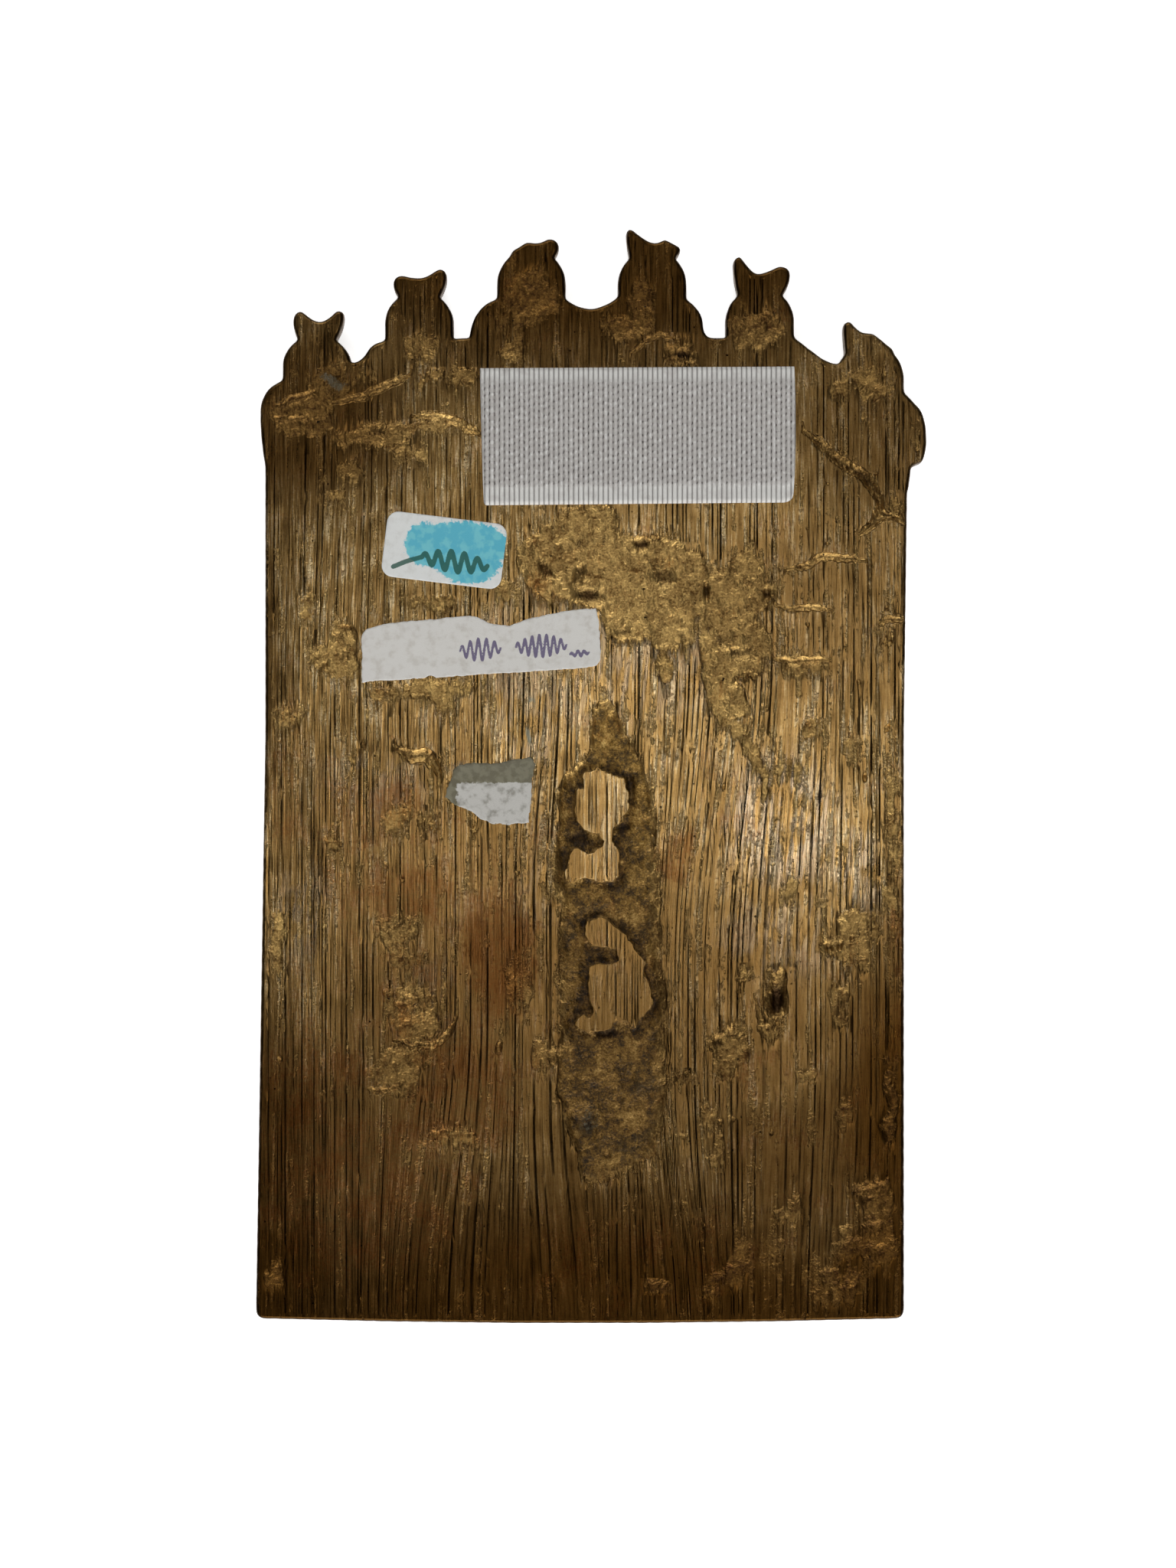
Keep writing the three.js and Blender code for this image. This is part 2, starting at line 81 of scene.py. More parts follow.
# Casting skin that lies too low for the file: where it is, its depth and its outline
PATCHES = [
    ("left shoulder", 0.34, [
        (-59.1, 65.6), (-58.1, 68.8), (-54.9, 69.5), (-51.8, 71), (-48.6, 71.5), (-45.5, 72.3),
        (-42.6, 73.3), (-39.8, 73.8), (-39.1, 72.3), (-42.3, 70.8), (-45.7, 69.1), (-46.9, 67.1),
        (-46.8, 64.1), (-48.7, 62.4), (-52.4, 61.5), (-56.3, 62.2), (-58.4, 63.5),
    ]),
    ("lumps beside it", 0.4, [
        (-48.2, 61.8), (-46.5, 63.9), (-43.4, 63.5), (-40.6, 65.2), (-36.4, 64.9), (-32.5, 65.5),
        (-28.9, 65.6), (-25.2, 65.2), (-22.4, 63.5), (-19.7, 61.8), (-23.3, 62.4), (-26.1, 62.7),
        (-28.9, 62.2), (-31.1, 62.7), (-33.1, 61.1), (-30.3, 59.6), (-30.6, 57.8), (-33.9, 56.9),
        (-35.9, 58.5), (-38.7, 59.6), (-42.6, 60.3), (-45.7, 59.6),
    ]),
    ("below the tape", 0.42, [
        (-7.9, 47.3), (-5.7, 49), (-1.2, 49.9), (3.3, 49.5), (5, 47.8), (4.4, 45), (6.4, 44.3), (9.2, 45),
        (13.1, 44.2), (16.7, 42.9), (19.5, 40.8), (22.3, 38), (24.8, 38.3), (25.8, 40.6), (28.7, 41.7),
        (31.8, 40.6), (32.9, 38.3), (31.8, 36.6), (33.4, 34.1), (32.7, 30.8), (30.4, 28.8), (32.4, 25.2),
        (33.1, 22.1), (31.8, 19.3), (27.1, 17.6), (28.7, 15.7), (28.9, 11.7), (26.2, 9.5), (23.4, 9.2),
        (21.5, 11.7), (20.9, 15.9), (19.8, 20.4), (19.4, 23.2), (16.7, 24.1), (13.9, 22.9), (10.3, 24.9),
        (5.5, 25.2), (2.4, 26.9), (1, 29.9), (-2.9, 30.5), (-7.1, 31), (-10.1, 32.7), (-12.1, 35.5),
        (-13.1, 39.2), (-12.8, 42.5), (-11, 44.3),
    ]),
    ("strip down from there", 0.3, [
        (24.8, 9.8), (28.7, 10.3), (30.1, 7.3), (31.5, 2.5), (33.8, -2), (33.2, -4.8), (30.7, -4.5),
        (29.9, 0.3), (28.2, 3.4), (26.5, 6.7),
    ]),
    ("below the torn label", 0.28, [
        (-41.2, 16.5), (-35.3, 17.1), (-30.8, 17.6), (-24.1, 18.2), (-19.1, 16.8), (-21, 15.2),
        (-24.1, 13.7), (-25.8, 12.6), (-27.8, 11.5), (-29.4, 12.9), (-33.1, 13.4), (-37.4, 13.1),
        (-40.3, 14.3),
    ]),
    ("left of the torn label", 0.3, [
        (-47.1, 28), (-44.8, 27.7), (-42.6, 25.7), (-42.6, 23.2), (-42.3, 20.1), (-43.4, 17.6),
        (-47.1, 17.1), (-49.6, 17.9), (-51, 20.4), (-51.8, 23.2), (-50.4, 25.2), (-48.7, 24.6),
    ]),
    ("lower left", 0.34, [
        (-38.1, -39.4), (-34.8, -38.6), (-31.4, -38.3), (-28.9, -40), (-27.2, -42.5), (-27.8, -45.6),
        (-29.7, -47.3), (-32.8, -48.7), (-35.9, -47.8), (-37, -45.6), (-38.1, -43.1),
    ]),
    ("foot of the lower left", 0.22, [
        (-39.2, -50.1), (-35.3, -49.5), (-29.7, -49.8), (-28.9, -52.9), (-31.4, -55.7), (-29.7, -57.3),
        (-35.3, -58.5), (-39.5, -57.3), (-41.2, -54.5),
    ]),
    ("right cluster", 0.34, [
        (44.1, -25.7), (47.5, -23.8), (50, -23.8), (52.8, -26), (52.8, -29.1), (51.4, -31), (52.8, -33.8),
        (51.1, -35.8), (47.5, -34.7), (43.8, -33.8), (41.6, -32.2), (41.3, -29.9), (44.4, -29.1),
    ]),
    ("lower right bowl", 0.45, [
        (22, -47.3), (25.1, -46.4), (28.5, -47.3), (29.6, -49.8), (28.2, -52.3), (26.5, -54.3),
        (24.3, -55.7), (21.5, -54.5), (22.3, -52.3), (22.9, -50.6), (21.7, -49),
    ]),
    ("right edge", 0.5, [
        (53.4, -54), (55.9, -53.4), (56.4, -66.6), (54.2, -66.9), (52.2, -64.9), (53.4, -61.8),
        (53.1, -57.9),
    ]),
    ("lower right corner", 0.3, [
        (47.5, -73.6), (52, -73), (55.9, -76.4), (56.2, -87.6), (52.8, -89.2), (48.6, -87.6), (45.5, -89),
        (43.8, -85.6), (45.8, -82.5), (48.3, -81.4), (46.9, -78),
    ]),
    ("smear at the bottom", 0.26, [
        (20.3, -94.5), (22, -90.3), (24.5, -87), (27.9, -84.5), (31.8, -82.8), (36, -83.6), (36.3, -85.3),
        (33.5, -88.1), (31.8, -90.3), (27.9, -92.3), (23.4, -95.9),
    ]),
    ("smear beside it", 0.26, [
        (39.7, -95.9), (39.4, -93.1), (41.3, -90.3), (45.2, -89.2), (48.9, -90.9), (49.4, -93.7),
        (47.2, -96.2), (43.6, -97.3),
    ]),
    ("third cherub", 0.3, [
        (-14.6, 85), (-12.4, 89.8), (-9.3, 91.2), (-6.2, 90.3), (-5.1, 88.1), (-5.9, 84.8), (-7.9, 82.5),
        (-11.5, 82), (-15.2, 82), (-18.5, 80.6), (-18.5, 83.1),
    ]),
    ("fourth cherub", 0.26, [
        (8, 91.2), (9.7, 92), (11.1, 89.8), (11.7, 85.9), (12, 80.8), (8.9, 79.4), (5.5, 80.3),
        (6.9, 83.1), (8.6, 84.8), (7.5, 87.8),
    ]),
    ("fifth cherub", 0.34, [
        (24.5, 82.5), (26.5, 84.2), (30.4, 84.5), (33.2, 83.4), (36, 82), (34.3, 79.4), (31.8, 77.8),
        (26.5, 78), (24.8, 80.3),
    ]),
    ("first cherub", 0.28, [
        (-52.1, 72.4), (-50.7, 74.7), (-48.7, 76.1), (-45.9, 76.4), (-44.3, 74.4), (-44.8, 71.9),
        (-47.1, 70.5), (-50.1, 71),
    ]),
    ("sixth cherub", 0.36, [
        (46.4, 73), (48.3, 74.4), (52.2, 74.7), (55.3, 73), (54.8, 70.2), (52, 68.5), (48.3, 69.4),
    ]),
    ("right of the sunken place", 0.35, [
        (15, -53.7), (18.4, -53.1), (19.2, -55.1), (17.3, -56.8), (14.8, -56.5),
    ]),
    ("above the right cluster", 0.2, [
        (32.4, 2), (37.4, 2.5), (40.2, 1.1), (37.4, -0.6), (32.9, 0),
    ]),
    ("beside the big patch", 0.3, [
        (33.2, 21.3), (37.4, 22.1), (42.2, 21.8), (44.4, 20.4), (41.9, 18.2), (37.4, 17.1), (34.1, 18.7),
    ]),
    ("left edge", 0.3, [
        (-58.3, 11.7), (-56, 13.4), (-53.2, 13.7), (-51.8, 11.7), (-52.7, 9), (-55.5, 8.1), (-57.7, 9.8),
    ]),
    ("left of the label's remains", 0.22, [
        (-40.1, -8.4), (-37.8, -5.9), (-35, -4.2), (-32.8, -4.8), (-33.1, -7.6), (-35.3, -9.8),
        (-39, -10.1),
    ]),
    ("left middle", 0.24, [
        (-40.3, -25.5), (-36.7, -24.3), (-31.7, -24.6), (-30.8, -27.7), (-33.1, -30.5), (-29.7, -32.4),
        (-30.3, -35.2), (-35.3, -36.1), (-38.1, -33), (-39.8, -29.7),
    ]),
]
PATCH_BORDER = 1.9

# Small spots of the same skin: middle, half size across and along, tilt in degrees, depth
SPOTS = [
    (-43.9, 55.9, 3.0, 1.4, 0, 0.3), (-23.7, 72.2, 3.4, 2.0, 8, 0.4), (-29.0, 72.8, 3.0, 1.2, 8, 0.35),
    (-31.4, 78.0, 4.3, 3.4, 25, 0.32), (-30.3, -8.4, 2.6, 1.2, 0, 0.25), (-25.2, -65.9, 5.6, 1.5, -2, 0.35),
    (-57.9, -91.0, 2.6, 3.4, 0, 0.28), (-52.0, 31.0, 2.6, 3.0, 0, 0.25), (-57.5, -30.0, 1.6, 7.0, 0, 0.22),
    (-46.5, 51.0, 1.6, 0.9, 0, 0.3), (-13.5, 78.0, 4.0, 1.2, 10, 0.3), (16.6, 76.8, 3.6, 1.9, -8, 0.5),
    (44.9, 70.5, 2.2, 1.6, 0, 0.3), (-15.5, 34.0, 4.0, 2.2, 0, 0.26), (14.0, 20.0, 1.9, 4.2, 5, 0.26),
    (-28.5, 31.3, 5.4, 1.5, 4, 0.28), (55.7, 49.2, 1.8, 1.5, 0, 0.4), (32.7, -46.8, 1.6, 1.3, 0, 0.4),
    (34.1, -39.7, 2.3, 5.4, -8, 0.8), (28.3, -36.3, 2.0, 0.8, 8, 0.4), (44.9, -39.5, 2.2, 2.0, 0, 0.32),
    (45.8, -45.1, 2.0, 1.3, 0, 0.36), (55.2, -52.3, 1.6, 1.4, 0, 0.4), (12.2, -93.0, 3.4, 1.5, -8, 0.4),
    (40.5, 8.5, 3.0, 2.0, 0, 0.2), (36.0, -20.5, 3.0, 2.0, 10, 0.2), (48.0, 5.0, 2.4, 4.0, 0, 0.22),
    (21.5, -62.0, 2.0, 1.2, 0, 0.26), (39.5, -55.0, 2.6, 1.8, 0, 0.2), (46.0, -62.0, 2.2, 3.0, 0, 0.2),
    (36.5, -79.0, 3.0, 2.0, 20, 0.24), (55.0, -12.0, 1.7, 26.0, 0, 0.2), (22.6, -69.4, 2.4, 0.8, 20, 0.24),
    (23.5, -66.0, 1.8, 1.0, 0, 0.26), (-47.0, -12.0, 2.6, 1.2, 10, 0.2), (-13.5, -38.0, 3.0, 7.0, 10, 0.2),
    (-9.0, -52.0, 2.8, 4.5, 0, 0.22), (-11.5, 87.5, 4.6, 5.6, -30, 0.45), (9.3, 86.0, 3.2, 6.4, 8, 0.45),
    (6.8, 81.6, 6.4, 2.4, 0, 0.36), (31.0, 82.4, 5.4, 2.8, -12, 0.45),
]
SKIN_MARGIN = 0.12
SKIN_STEP = 0.52
EDGE_BLEND = 0.1

# Round-bottomed holes and hollows: middle, half size across and along, tilt, depth
HOLLOWS = [
    (9.0, 42.5, 2.1, 1.5, 5, 1.0), (11.7, 43.2, 1.5, 0.7, -20, 0.5), (12.9, 36.6, 3.6, 2.7, -15, 0.7),
    (-8.4, 37.8, 1.2, 3.2, 32, 0.6), (-2.2, 36.8, 1.5, 2.9, -24, 0.8), (-0.8, 33.2, 3.6, 1.8, -10, 0.7),
    (20.9, 33.6, 0.8, 2.2, 0, 0.7), (32.2, 33.4, 0.8, 1.5, 0, 0.6), (28.4, 35.5, 3.0, 0.9, 10, 0.4),
    (26.6, 22.4, 4.8, 1.1, 0, 0.5), (5.6, 26.2, 3.4, 1.4, 0, 0.5), (29.0, 18.8, 3.0, 0.8, 12, 0.4),
    (20.5, 30.2, 2.4, 1.3, 0, 0.35), (-2.2, -11.5, 3.1, 1.6, -8, 0.7), (-4.2, -1.0, 1.2, 2.2, 10, 0.5),
    (7.3, -1.4, 0.9, 2.6, 12, 0.5), (6.2, -10.0, 2.2, 2.0, 0, 0.4), (-2.6, -41.6, 1.6, 2.4, 0, 0.5),
    (3.4, -47.4, 5.6, 0.9, 6, 0.5), (-1.6, -63.0, 3.2, 4.6, 10, 0.35), (2.9, -69.7, 0.9, 0.7, 0, 0.5),
    (16.9, 77.0, 2.4, 1.0, -15, 0.9), (-34.4, 60.7, 1.6, 1.0, 0, 0.5), (-39.4, 63.2, 1.8, 1.1, -20, 0.5),
    (-26.9, -64.9, 1.0, 0.7, 0, 0.6), (-21.7, -65.5, 1.1, 0.7, 0, 0.5), (27.6, -37.1, 1.7, 0.6, 10, 0.6),
    (23.5, -63.0, 0.8, 0.7, 0, 0.5), (25.9, -62.7, 0.6, 0.6, 0, 0.5), (28.9, -63.4, 0.5, 0.5, 0, 0.4),
    (32.7, -65.4, 0.6, 0.5, 0, 0.4), (43.5, -31.3, 0.9, 0.9, 0, 0.7), (45.4, -31.0, 0.8, 1.0, 0, 0.7),
    (47.6, -29.5, 0.7, 0.8, 0, 0.6), (33.9, -41.5, 1.3, 3.0, -10, 0.6), (54.1, 24.5, 1.8, 0.35, 0, 0.6),
    (43.1, 53.4, 0.45, 0.45, 0, 0.5), (52.0, 55.2, 0.4, 0.4, 0, 0.5), (45.4, 60.0, 0.35, 0.35, 0, 0.4),
    (39.4, 45.4, 0.4, 0.4, 0, 0.4), (43.0, 42.5, 0.5, 0.35, 0, 0.4), (54.0, 30.8, 0.55, 0.6, 0, 0.6),
    (-41.9, 5.6, 0.9, 0.8, 0, 0.6), (-43.6, 2.7, 1.3, 0.5, -20, 0.4), (-21.5, -9.9, 1.0, 0.6, 20, 0.4),
    (-34.3, -19.2, 0.6, 0.5, 0, 0.4), (-13.6, -17.6, 0.5, 0.5, 0, 0.3), (48.8, 17.4, 0.5, 0.6, 0, 0.4),
    (54.0, 8.8, 0.5, 1.1, -35, 0.6), (49.9, -0.2, 0.5, 1.0, 0, 0.6), (24.0, -2.0, 0.4, 0.9, -20, 0.4),
    (39.6, 27.8, 0.5, 0.4, 0, 0.3), (37.8, 15.0, 1.0, 0.8, 0, 0.3), (-17.0, -49.6, 0.8, 1.4, -15, 0.5),
    (-56.6, -43.8, 0.5, 0.6, 0, 0.3), (-56.8, -51.6, 0.7, 0.7, 0, 0.3), (-33.0, -40.6, 2.2, 0.9, -8, 0.5),
    (-48.8, -57.6, 0.5, 0.5, 0, 0.3), (-6.8, -51.0, 1.3, 2.0, 0, 0.35), (17.5, -54.2, 1.2, 0.5, 15, 0.4),
    (16.6, -65.6, 1.1, 0.8, 0, 0.35), (37.2, -66.6, 0.5, 0.5, 0, 0.3), (46.3, -33.8, 0.6, 0.5, 0, 0.4),
    (-44.2, 27.0, 1.2, 0.9, 0, 0.35), (-45.0, 22.2, 1.0, 1.4, 0, 0.35), (-48.4, 20.4, 0.9, 0.9, 0, 0.4),
    (-55.6, 11.4, 0.9, 0.9, 0, 0.35), (50.6, -77.6, 2.2, 2.2, 0, 0.35), (51.6, -83.0, 2.4, 2.0, 0, 0.3),
    (30.8, -46.0, 1.0, 1.0, 0, 0.4), (22.9, -48.8, 1.2, 1.4, 0, 0.5),
]

# The long sunken place: its left and right edge at some heights, its depth and how softly each edge slopes
SINK_LEFT = [(-76, 0.1), (-72, -2.2), (-57.6, -6.4), (-26, -7), (-4, -6.6), (-0.5, -5.6), (2, -2.4), (5, -0.4), (15, 0.8)]
SINK_RIGHT = [(-76, 0.3), (-73.7, 4.5), (-68.8, 13.1), (-58, 15.2), (-38, 14.6), (-8, 12.4), (2.2, 9.4), (8, 6.6), (15, 3.6)]
SINK_DEPTH = 1.0
CRISP_SLOPE = 1.1
LEFT_SLOPE = 3.0
RIGHT_SLOPE = 4.6

# Filed islands that stand in the sunken place
ISLANDS = [
    [
        (-2.9, -7.3), (-1.3, -9.8), (0.6, -10.5), (2.4, -11.9), (1.6, -13.1), (0.2, -14), (-0.9, -14.3),
        (-2.3, -13.1), (-3.6, -13.4), (-4, -15.1), (-4.8, -16.9), (-4.4, -19), (-3.1, -19.3),
        (-1.2, -18.5), (1, -19.2), (3.6, -19.3), (5.1, -18.2), (5.1, -14.5), (4.7, -13), (3.6, -11.7),
        (3.8, -9.9), (5.7, -8.1), (6.9, -5.6), (6.6, -3.1), (6.1, -0.3), (3.8, 0), (2.7, 0.6), (1.9, 1.4),
        (0.8, 2), (0.5, 1.1), (-1.3, 0.6), (-1.5, -2.2), (-2.9, -2), (-3.1, -3.6),
    ],
    [
        (-1, -29.1), (-0.1, -31), (2.4, -31.2), (4.7, -31.6), (5.2, -33.8), (3.8, -34.4), (1, -34.3),
        (-0.5, -34.7), (-0.6, -39.4), (0.5, -43.1), (-0.1, -44.3), (-1.5, -43.4), (-2.9, -45.3),
        (-2, -46.4), (-0.3, -46.9), (0.9, -46.4), (3.1, -46.4), (4.4, -44.6), (6.4, -44.8), (7.9, -46),
        (9.2, -43.9), (11.3, -41.7), (10.8, -38.9), (9.7, -36.4), (9.9, -34.1), (8.3, -31.9), (7.5, -30.5),
        (5.5, -28.3), (3.8, -26.9), (2.4, -25.9), (1.3, -25.6), (0.2, -26.4), (-0.6, -26), (-1.2, -26.9),
    ],
]
ISLAND_TOP = 0.06
ISLAND_FOOT = 0.2
ISLAND_MOAT = 0.45
ISLAND_MARKS = 0.75

# Cracks: path, width and depth
CRACKS = [
    ([(38.6, 63.2), (41.3, 61.3), (44, 58.6), (48.9, 55.5), (52.2, 51.9), (52.9, 48.5), (57, 46.2)], 2.0, 0.80),
    ([(52.6, 49.4), (51.4, 46), (48.9, 44.2)], 1.5, 0.69),
    ([(50.5, 46.0), (53.5, 47.4), (57.2, 47.0)], 1.4, 0.69),
    ([(35.3, 37.6), (39.1, 38.6), (42.2, 40), (46, 39.9), (50.3, 39.4)], 1.6, 0.62),
    ([(-35.8, 5.0), (-32.8, 3.4), (-30.3, 3.8), (-28.6, 2.4), (-27.6, 0.2)], 2.6, 0.75),
    ([(-32.8, 65.4), (-28.6, 66.0), (-24.4, 64.9), (-19.8, 62.0)], 1.8, 0.62),
    ([(-57.5, 67.6), (-53, 69.3), (-50, 70.0)], 1.6, 0.62),
    ([(-47.5, 68.2), (-42, 69.4), (-38, 71.2), (-33, 73.4)], 1.5, 0.50),
    ([(-58.4, 65.4), (-54, 65.2), (-49.5, 65.6)], 1.6, 0.50),
    ([(52.5, 28.2), (55, 28.6), (57.3, 28.4)], 1.4, 0.50),
    ([(33.5, 31.5), (36.5, 30.5), (40.5, 30.9), (44.0, 30.2)], 1.4, 0.31),
    ([(33.2, 21.6), (37.4, 20.8), (43.8, 21.4)], 1.6, 0.56),
    ([(-36.4, -48.2), (-33.0, -49.4), (-29.0, -49.2), (-25.8, -46.8), (-24.6, -43.4)], 1.4, 0.56),
    ([(-36.0, -41.6), (-33.4, -41.9), (-31.6, -40.8)], 1.6, 0.56),
    ([(30.3, -41.8), (31.5, -45.5), (33.0, -47.2)], 1.4, 0.38),
    ([(48.0, -76.2), (50.6, -75.6), (53.6, -75.0)], 1.5, 0.50),
    ([(7.2, 77.2), (9.4, 79.4), (12.4, 80.6), (15.2, 79.8)], 1.4, 0.38),
    ([(-41.0, -56.9), (-38.6, -57.4), (-35.0, -56.6)], 1.4, 0.44),
]

# Tints of the old metal, and spots of painted sheen and painted shade: middle, half size across and along, strength
RUST = [
    (-34, -21, 14, 9, 0.8), (-16.5, -34, 10, 17, 1.0), (15.6, -15, 6, 7, 0.7), (-36.5, -5, 8, 7, 0.7),
    (-50, -64, 14, 30, 0.6), (56, -34, 3, 30, 0.45), (-45, -10, 10, 12, 0.5), (25, -6, 9, 10, 0.3),
    (-24, -58, 18, 18, 0.65), (-56, 2, 5, 24, 0.4), (6, -88, 34, 14, 0.3), (24, 68, 16, 9, 0.3),
    (-20, 22, 8, 3, 0.4), (30, -56, 12, 10, 0.25), (-8, 35, 4, 4, 0.5), (-42, -76, 28, 22, 0.65),
    (-30, -30, 34, 44, 0.35), (44, -60, 26, 30, 0.12),
]
# Spots of painted grey sheen, most across the lit middle where the lamp's reflection lies
SHEEN_AREAS = [
    (0, 22, 40, 16, 0.5), (34, -8, 15, 18, 0.8), (-40, -2, 13, 8, 0.5), (-52, -26, 6, 11, 0.6),
    (34, -30, 14, 10, 0.6), (-10, -22, 6, 12, 0.3), (-28, -40, 6, 10, 0.4), (48, -18, 6, 12, 0.7),
    (-12, 8, 8, 10, 0.5),
]
RESIDUE = [
    (-10.6, 16.2, 1.5, 2.4, 0.8), (-10.6, 6.5, 1.0, 1.7, 0.7), (-3.4, 16.2, 0.5, 1.6, 0.5),
    (-23.5, 1.2, 3.2, 1.8, 0.5), (-41.8, 9.8, 0.9, 0.6, 0.5), (-47.5, 72.4, 3.6, 1.2, 0.6),
    (0.5, -63.5, 4, 5.5, 0.35),
]
# Darkening that is partly tarnish and partly painted shade, strongest towards the ends and corners where the lamp's
# light falls off
TARNISH_AND_SHADE = [
    (0, -118, 120, 74, 1.0), (0, 104, 110, 46, 0.95), (-72, -70, 40, 50, 0.9), (70, -62, 46, 56, 1.0),
    (-54, 66, 30, 24, 0.85), (56, 64, 28, 26, 0.6), (0, -48, 80, 42, 0.6), (-66, 30, 14, 60, 0.55),
    (-8, -16, 30, 22, 0.35), (44, 32, 34, 26, 0.4), (-40, -10, 30, 30, 0.25), (-60, -96, 26, 30, 1.0),
    (58, -96, 28, 36, 1.0), (36, -70, 24, 20, 0.8), (-44, -62, 30, 22, 0.65),
]
SEED = 20261125

# The light: a sky that is dim overhead and brighter low down, and the lamp over the camera
SKY_OVERHEAD = 0.015
SKY_LOW = 0.4
SKY_HORIZON = 17.0
LAMP_WATTS = 0.82

FRONT_GRID = 0.6
FRONT_STEP = 0.86
WALL_ROWS = 5


def smooth(t):
    """An even rise from 0 to 1 as t goes from 0 to 1"""
    t = np.clip(t, 0.0, 1.0)
    return t * t * (3.0 - 2.0 * t)


def spots(x, y, size, seed, octaves=1):
    """Random values from 0 to 1 in soft spots about size across. Each octave adds spots half as large."""
    total, weight = np.zeros_like(x), 0.0
    for octave in range(octaves):
        values = np.random.default_rng(seed + 101 * octave).random((128, 128))
        turn = 0.6 + octave
        across = (x * np.cos(turn) - y * np.sin(turn)) / size * 2**octave + 512.0
        along = (x * np.sin(turn) + y * np.cos(turn)) / size * 2**octave + 512.0
        left, low = np.floor(across).astype(int), np.floor(along).astype(int)
        right, high = (left + 1) % 128, (low + 1) % 128
        s, t = smooth(across - left), smooth(along - low)
        left, low = left % 128, low % 128
        bottom = values[left, low] * (1 - s) + values[right, low] * s
        top = values[left, high] * (1 - s) + values[right, high] * s
        total += (bottom * (1 - t) + top * t) * 0.5**octave
        weight += 0.5**octave
    return total / weight


def section(node, height):
    """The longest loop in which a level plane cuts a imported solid, anticlockwise"""
    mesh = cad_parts[node].data
    mesh.calc_loop_triangles()
    places = np.array([vertex.co for vertex in mesh.vertices]) / MM
    links = {}
    for triangle in mesh.loop_triangles:
        corners = places[list(triangle.vertices)]
        ends = []
        for a, b in ((0, 1), (1, 2), (2, 0)):
            below, above = corners[a][2] - height, corners[b][2] - height
            if below * above < 0:
                cut = corners[a] + (corners[b] - corners[a]) * below / (below - above)
                ends.append((round(float(cut[0]), 3), round(float(cut[1]), 3)))
        if len(ends) == 2 and ends[0] != ends[1]:
            links.setdefault(ends[0], []).append(ends[1])
            links.setdefault(ends[1], []).append(ends[0])
    loops = []
    while links:
        start = next(iter(links))
        loop, here = [start], start
        while links.get(here):
            there = links[here].pop()
            links[there].remove(here)
            if there == start:
                break
            loop.append(there)
            here = there
        links = {place: rest for place, rest in links.items() if rest}
        loops.append(np.array(loop))
    longest = max(loops, key=lambda loop: np.hypot(*np.diff(loop, axis=0).T).sum())
    return longest if area(longest) > 0 else longest[::-1]


def area(loop):
    x, y = loop.T
    return 0.5 * np.sum(x * np.roll(y, -1) - np.roll(x, -1) * y)


def evenly(path, step, closed=False):
    """Points along a path, step apart"""
    path = np.array(path, float)
    if closed:
        path = np.vstack([path, path[:1]])
    along = np.concatenate([[0.0], np.cumsum(np.hypot(*np.diff(path, axis=0).T))])
    count = max(2, int(along[-1] / step))
    at = np.linspace(0.0, along[-1], count, endpoint=not closed)
    return np.stack([np.interp(at, along, path[:, 0]), np.interp(at, along, path[:, 1])], 1)


def softened(loop, passes):
    for _ in range(passes):
        loop = (np.roll(loop, 1, 0) + 2.0 * loop + np.roll(loop, -1, 0)) / 4.0
    return loop


def outward(loop):
    """The direction out of an anticlockwise loop at each of its points"""
    along = np.roll(loop, -1, 0) - np.roll(loop, 1, 0)
    along /= np.hypot(*along.T)[:, None]
    return np.stack([along[:, 1], -along[:, 0]], 1)


def within(x, y, loop):
    """Which points lie inside a loop"""
    inside = np.zeros(x.shape, bool)
    for (x0, y0), (x1, y1) in zip(loop, np.roll(loop, -1, 0)):
        if y0 != y1:
            inside ^= ((y0 > y) != (y1 > y)) & (x < (x1 - x0) * (y - y0) / (y1 - y0) + x0)
    return inside


def distance_to(x, y, path):
    """How far each point is from a path, and how far along the path it is, from 0 to 1"""
    path = np.array(path, float)
    lengths = np.hypot(*np.diff(path, axis=0).T)
    best, place = np.full(x.shape, 1e9), np.zeros(x.shape)
    start = 0.0
    for (x0, y0), (x1, y1), length in zip(path[:-1], path[1:], lengths):
        t = np.clip(((x - x0) * (x1 - x0) + (y - y0) * (y1 - y0)) / length**2, 0.0, 1.0)
        gap = np.hypot(x - x0 - t * (x1 - x0), y - y0 - t * (y1 - y0))
        nearer = gap < best
        best = np.where(nearer, gap, best)
        place = np.where(nearer, (start + t * length) / lengths.sum(), place)
        start += length
    return best, place


def depth_inside(x, y, loop):
    """How far each point is inside a loop, and less than 0 outside it"""
    closed = np.vstack([loop, loop[:1]])
    gap = distance_to(x, y, closed)[0]
    return np.where(within(x, y, np.array(loop, float)), gap, -gap)


def oval(x, y, spot):
    """How far each point is from the middle of a tilted oval, where 1 is its edge"""
    turn = np.radians(spot[4]) if len(spot) > 5 else 0.0
    dx, dy = x - spot[0], y - spot[1]
    across = (dx * np.cos(turn) + dy * np.sin(turn)) / spot[2]
    along = (dy * np.cos(turn) - dx * np.sin(turn)) / spot[3]
    return np.hypot(across, along)


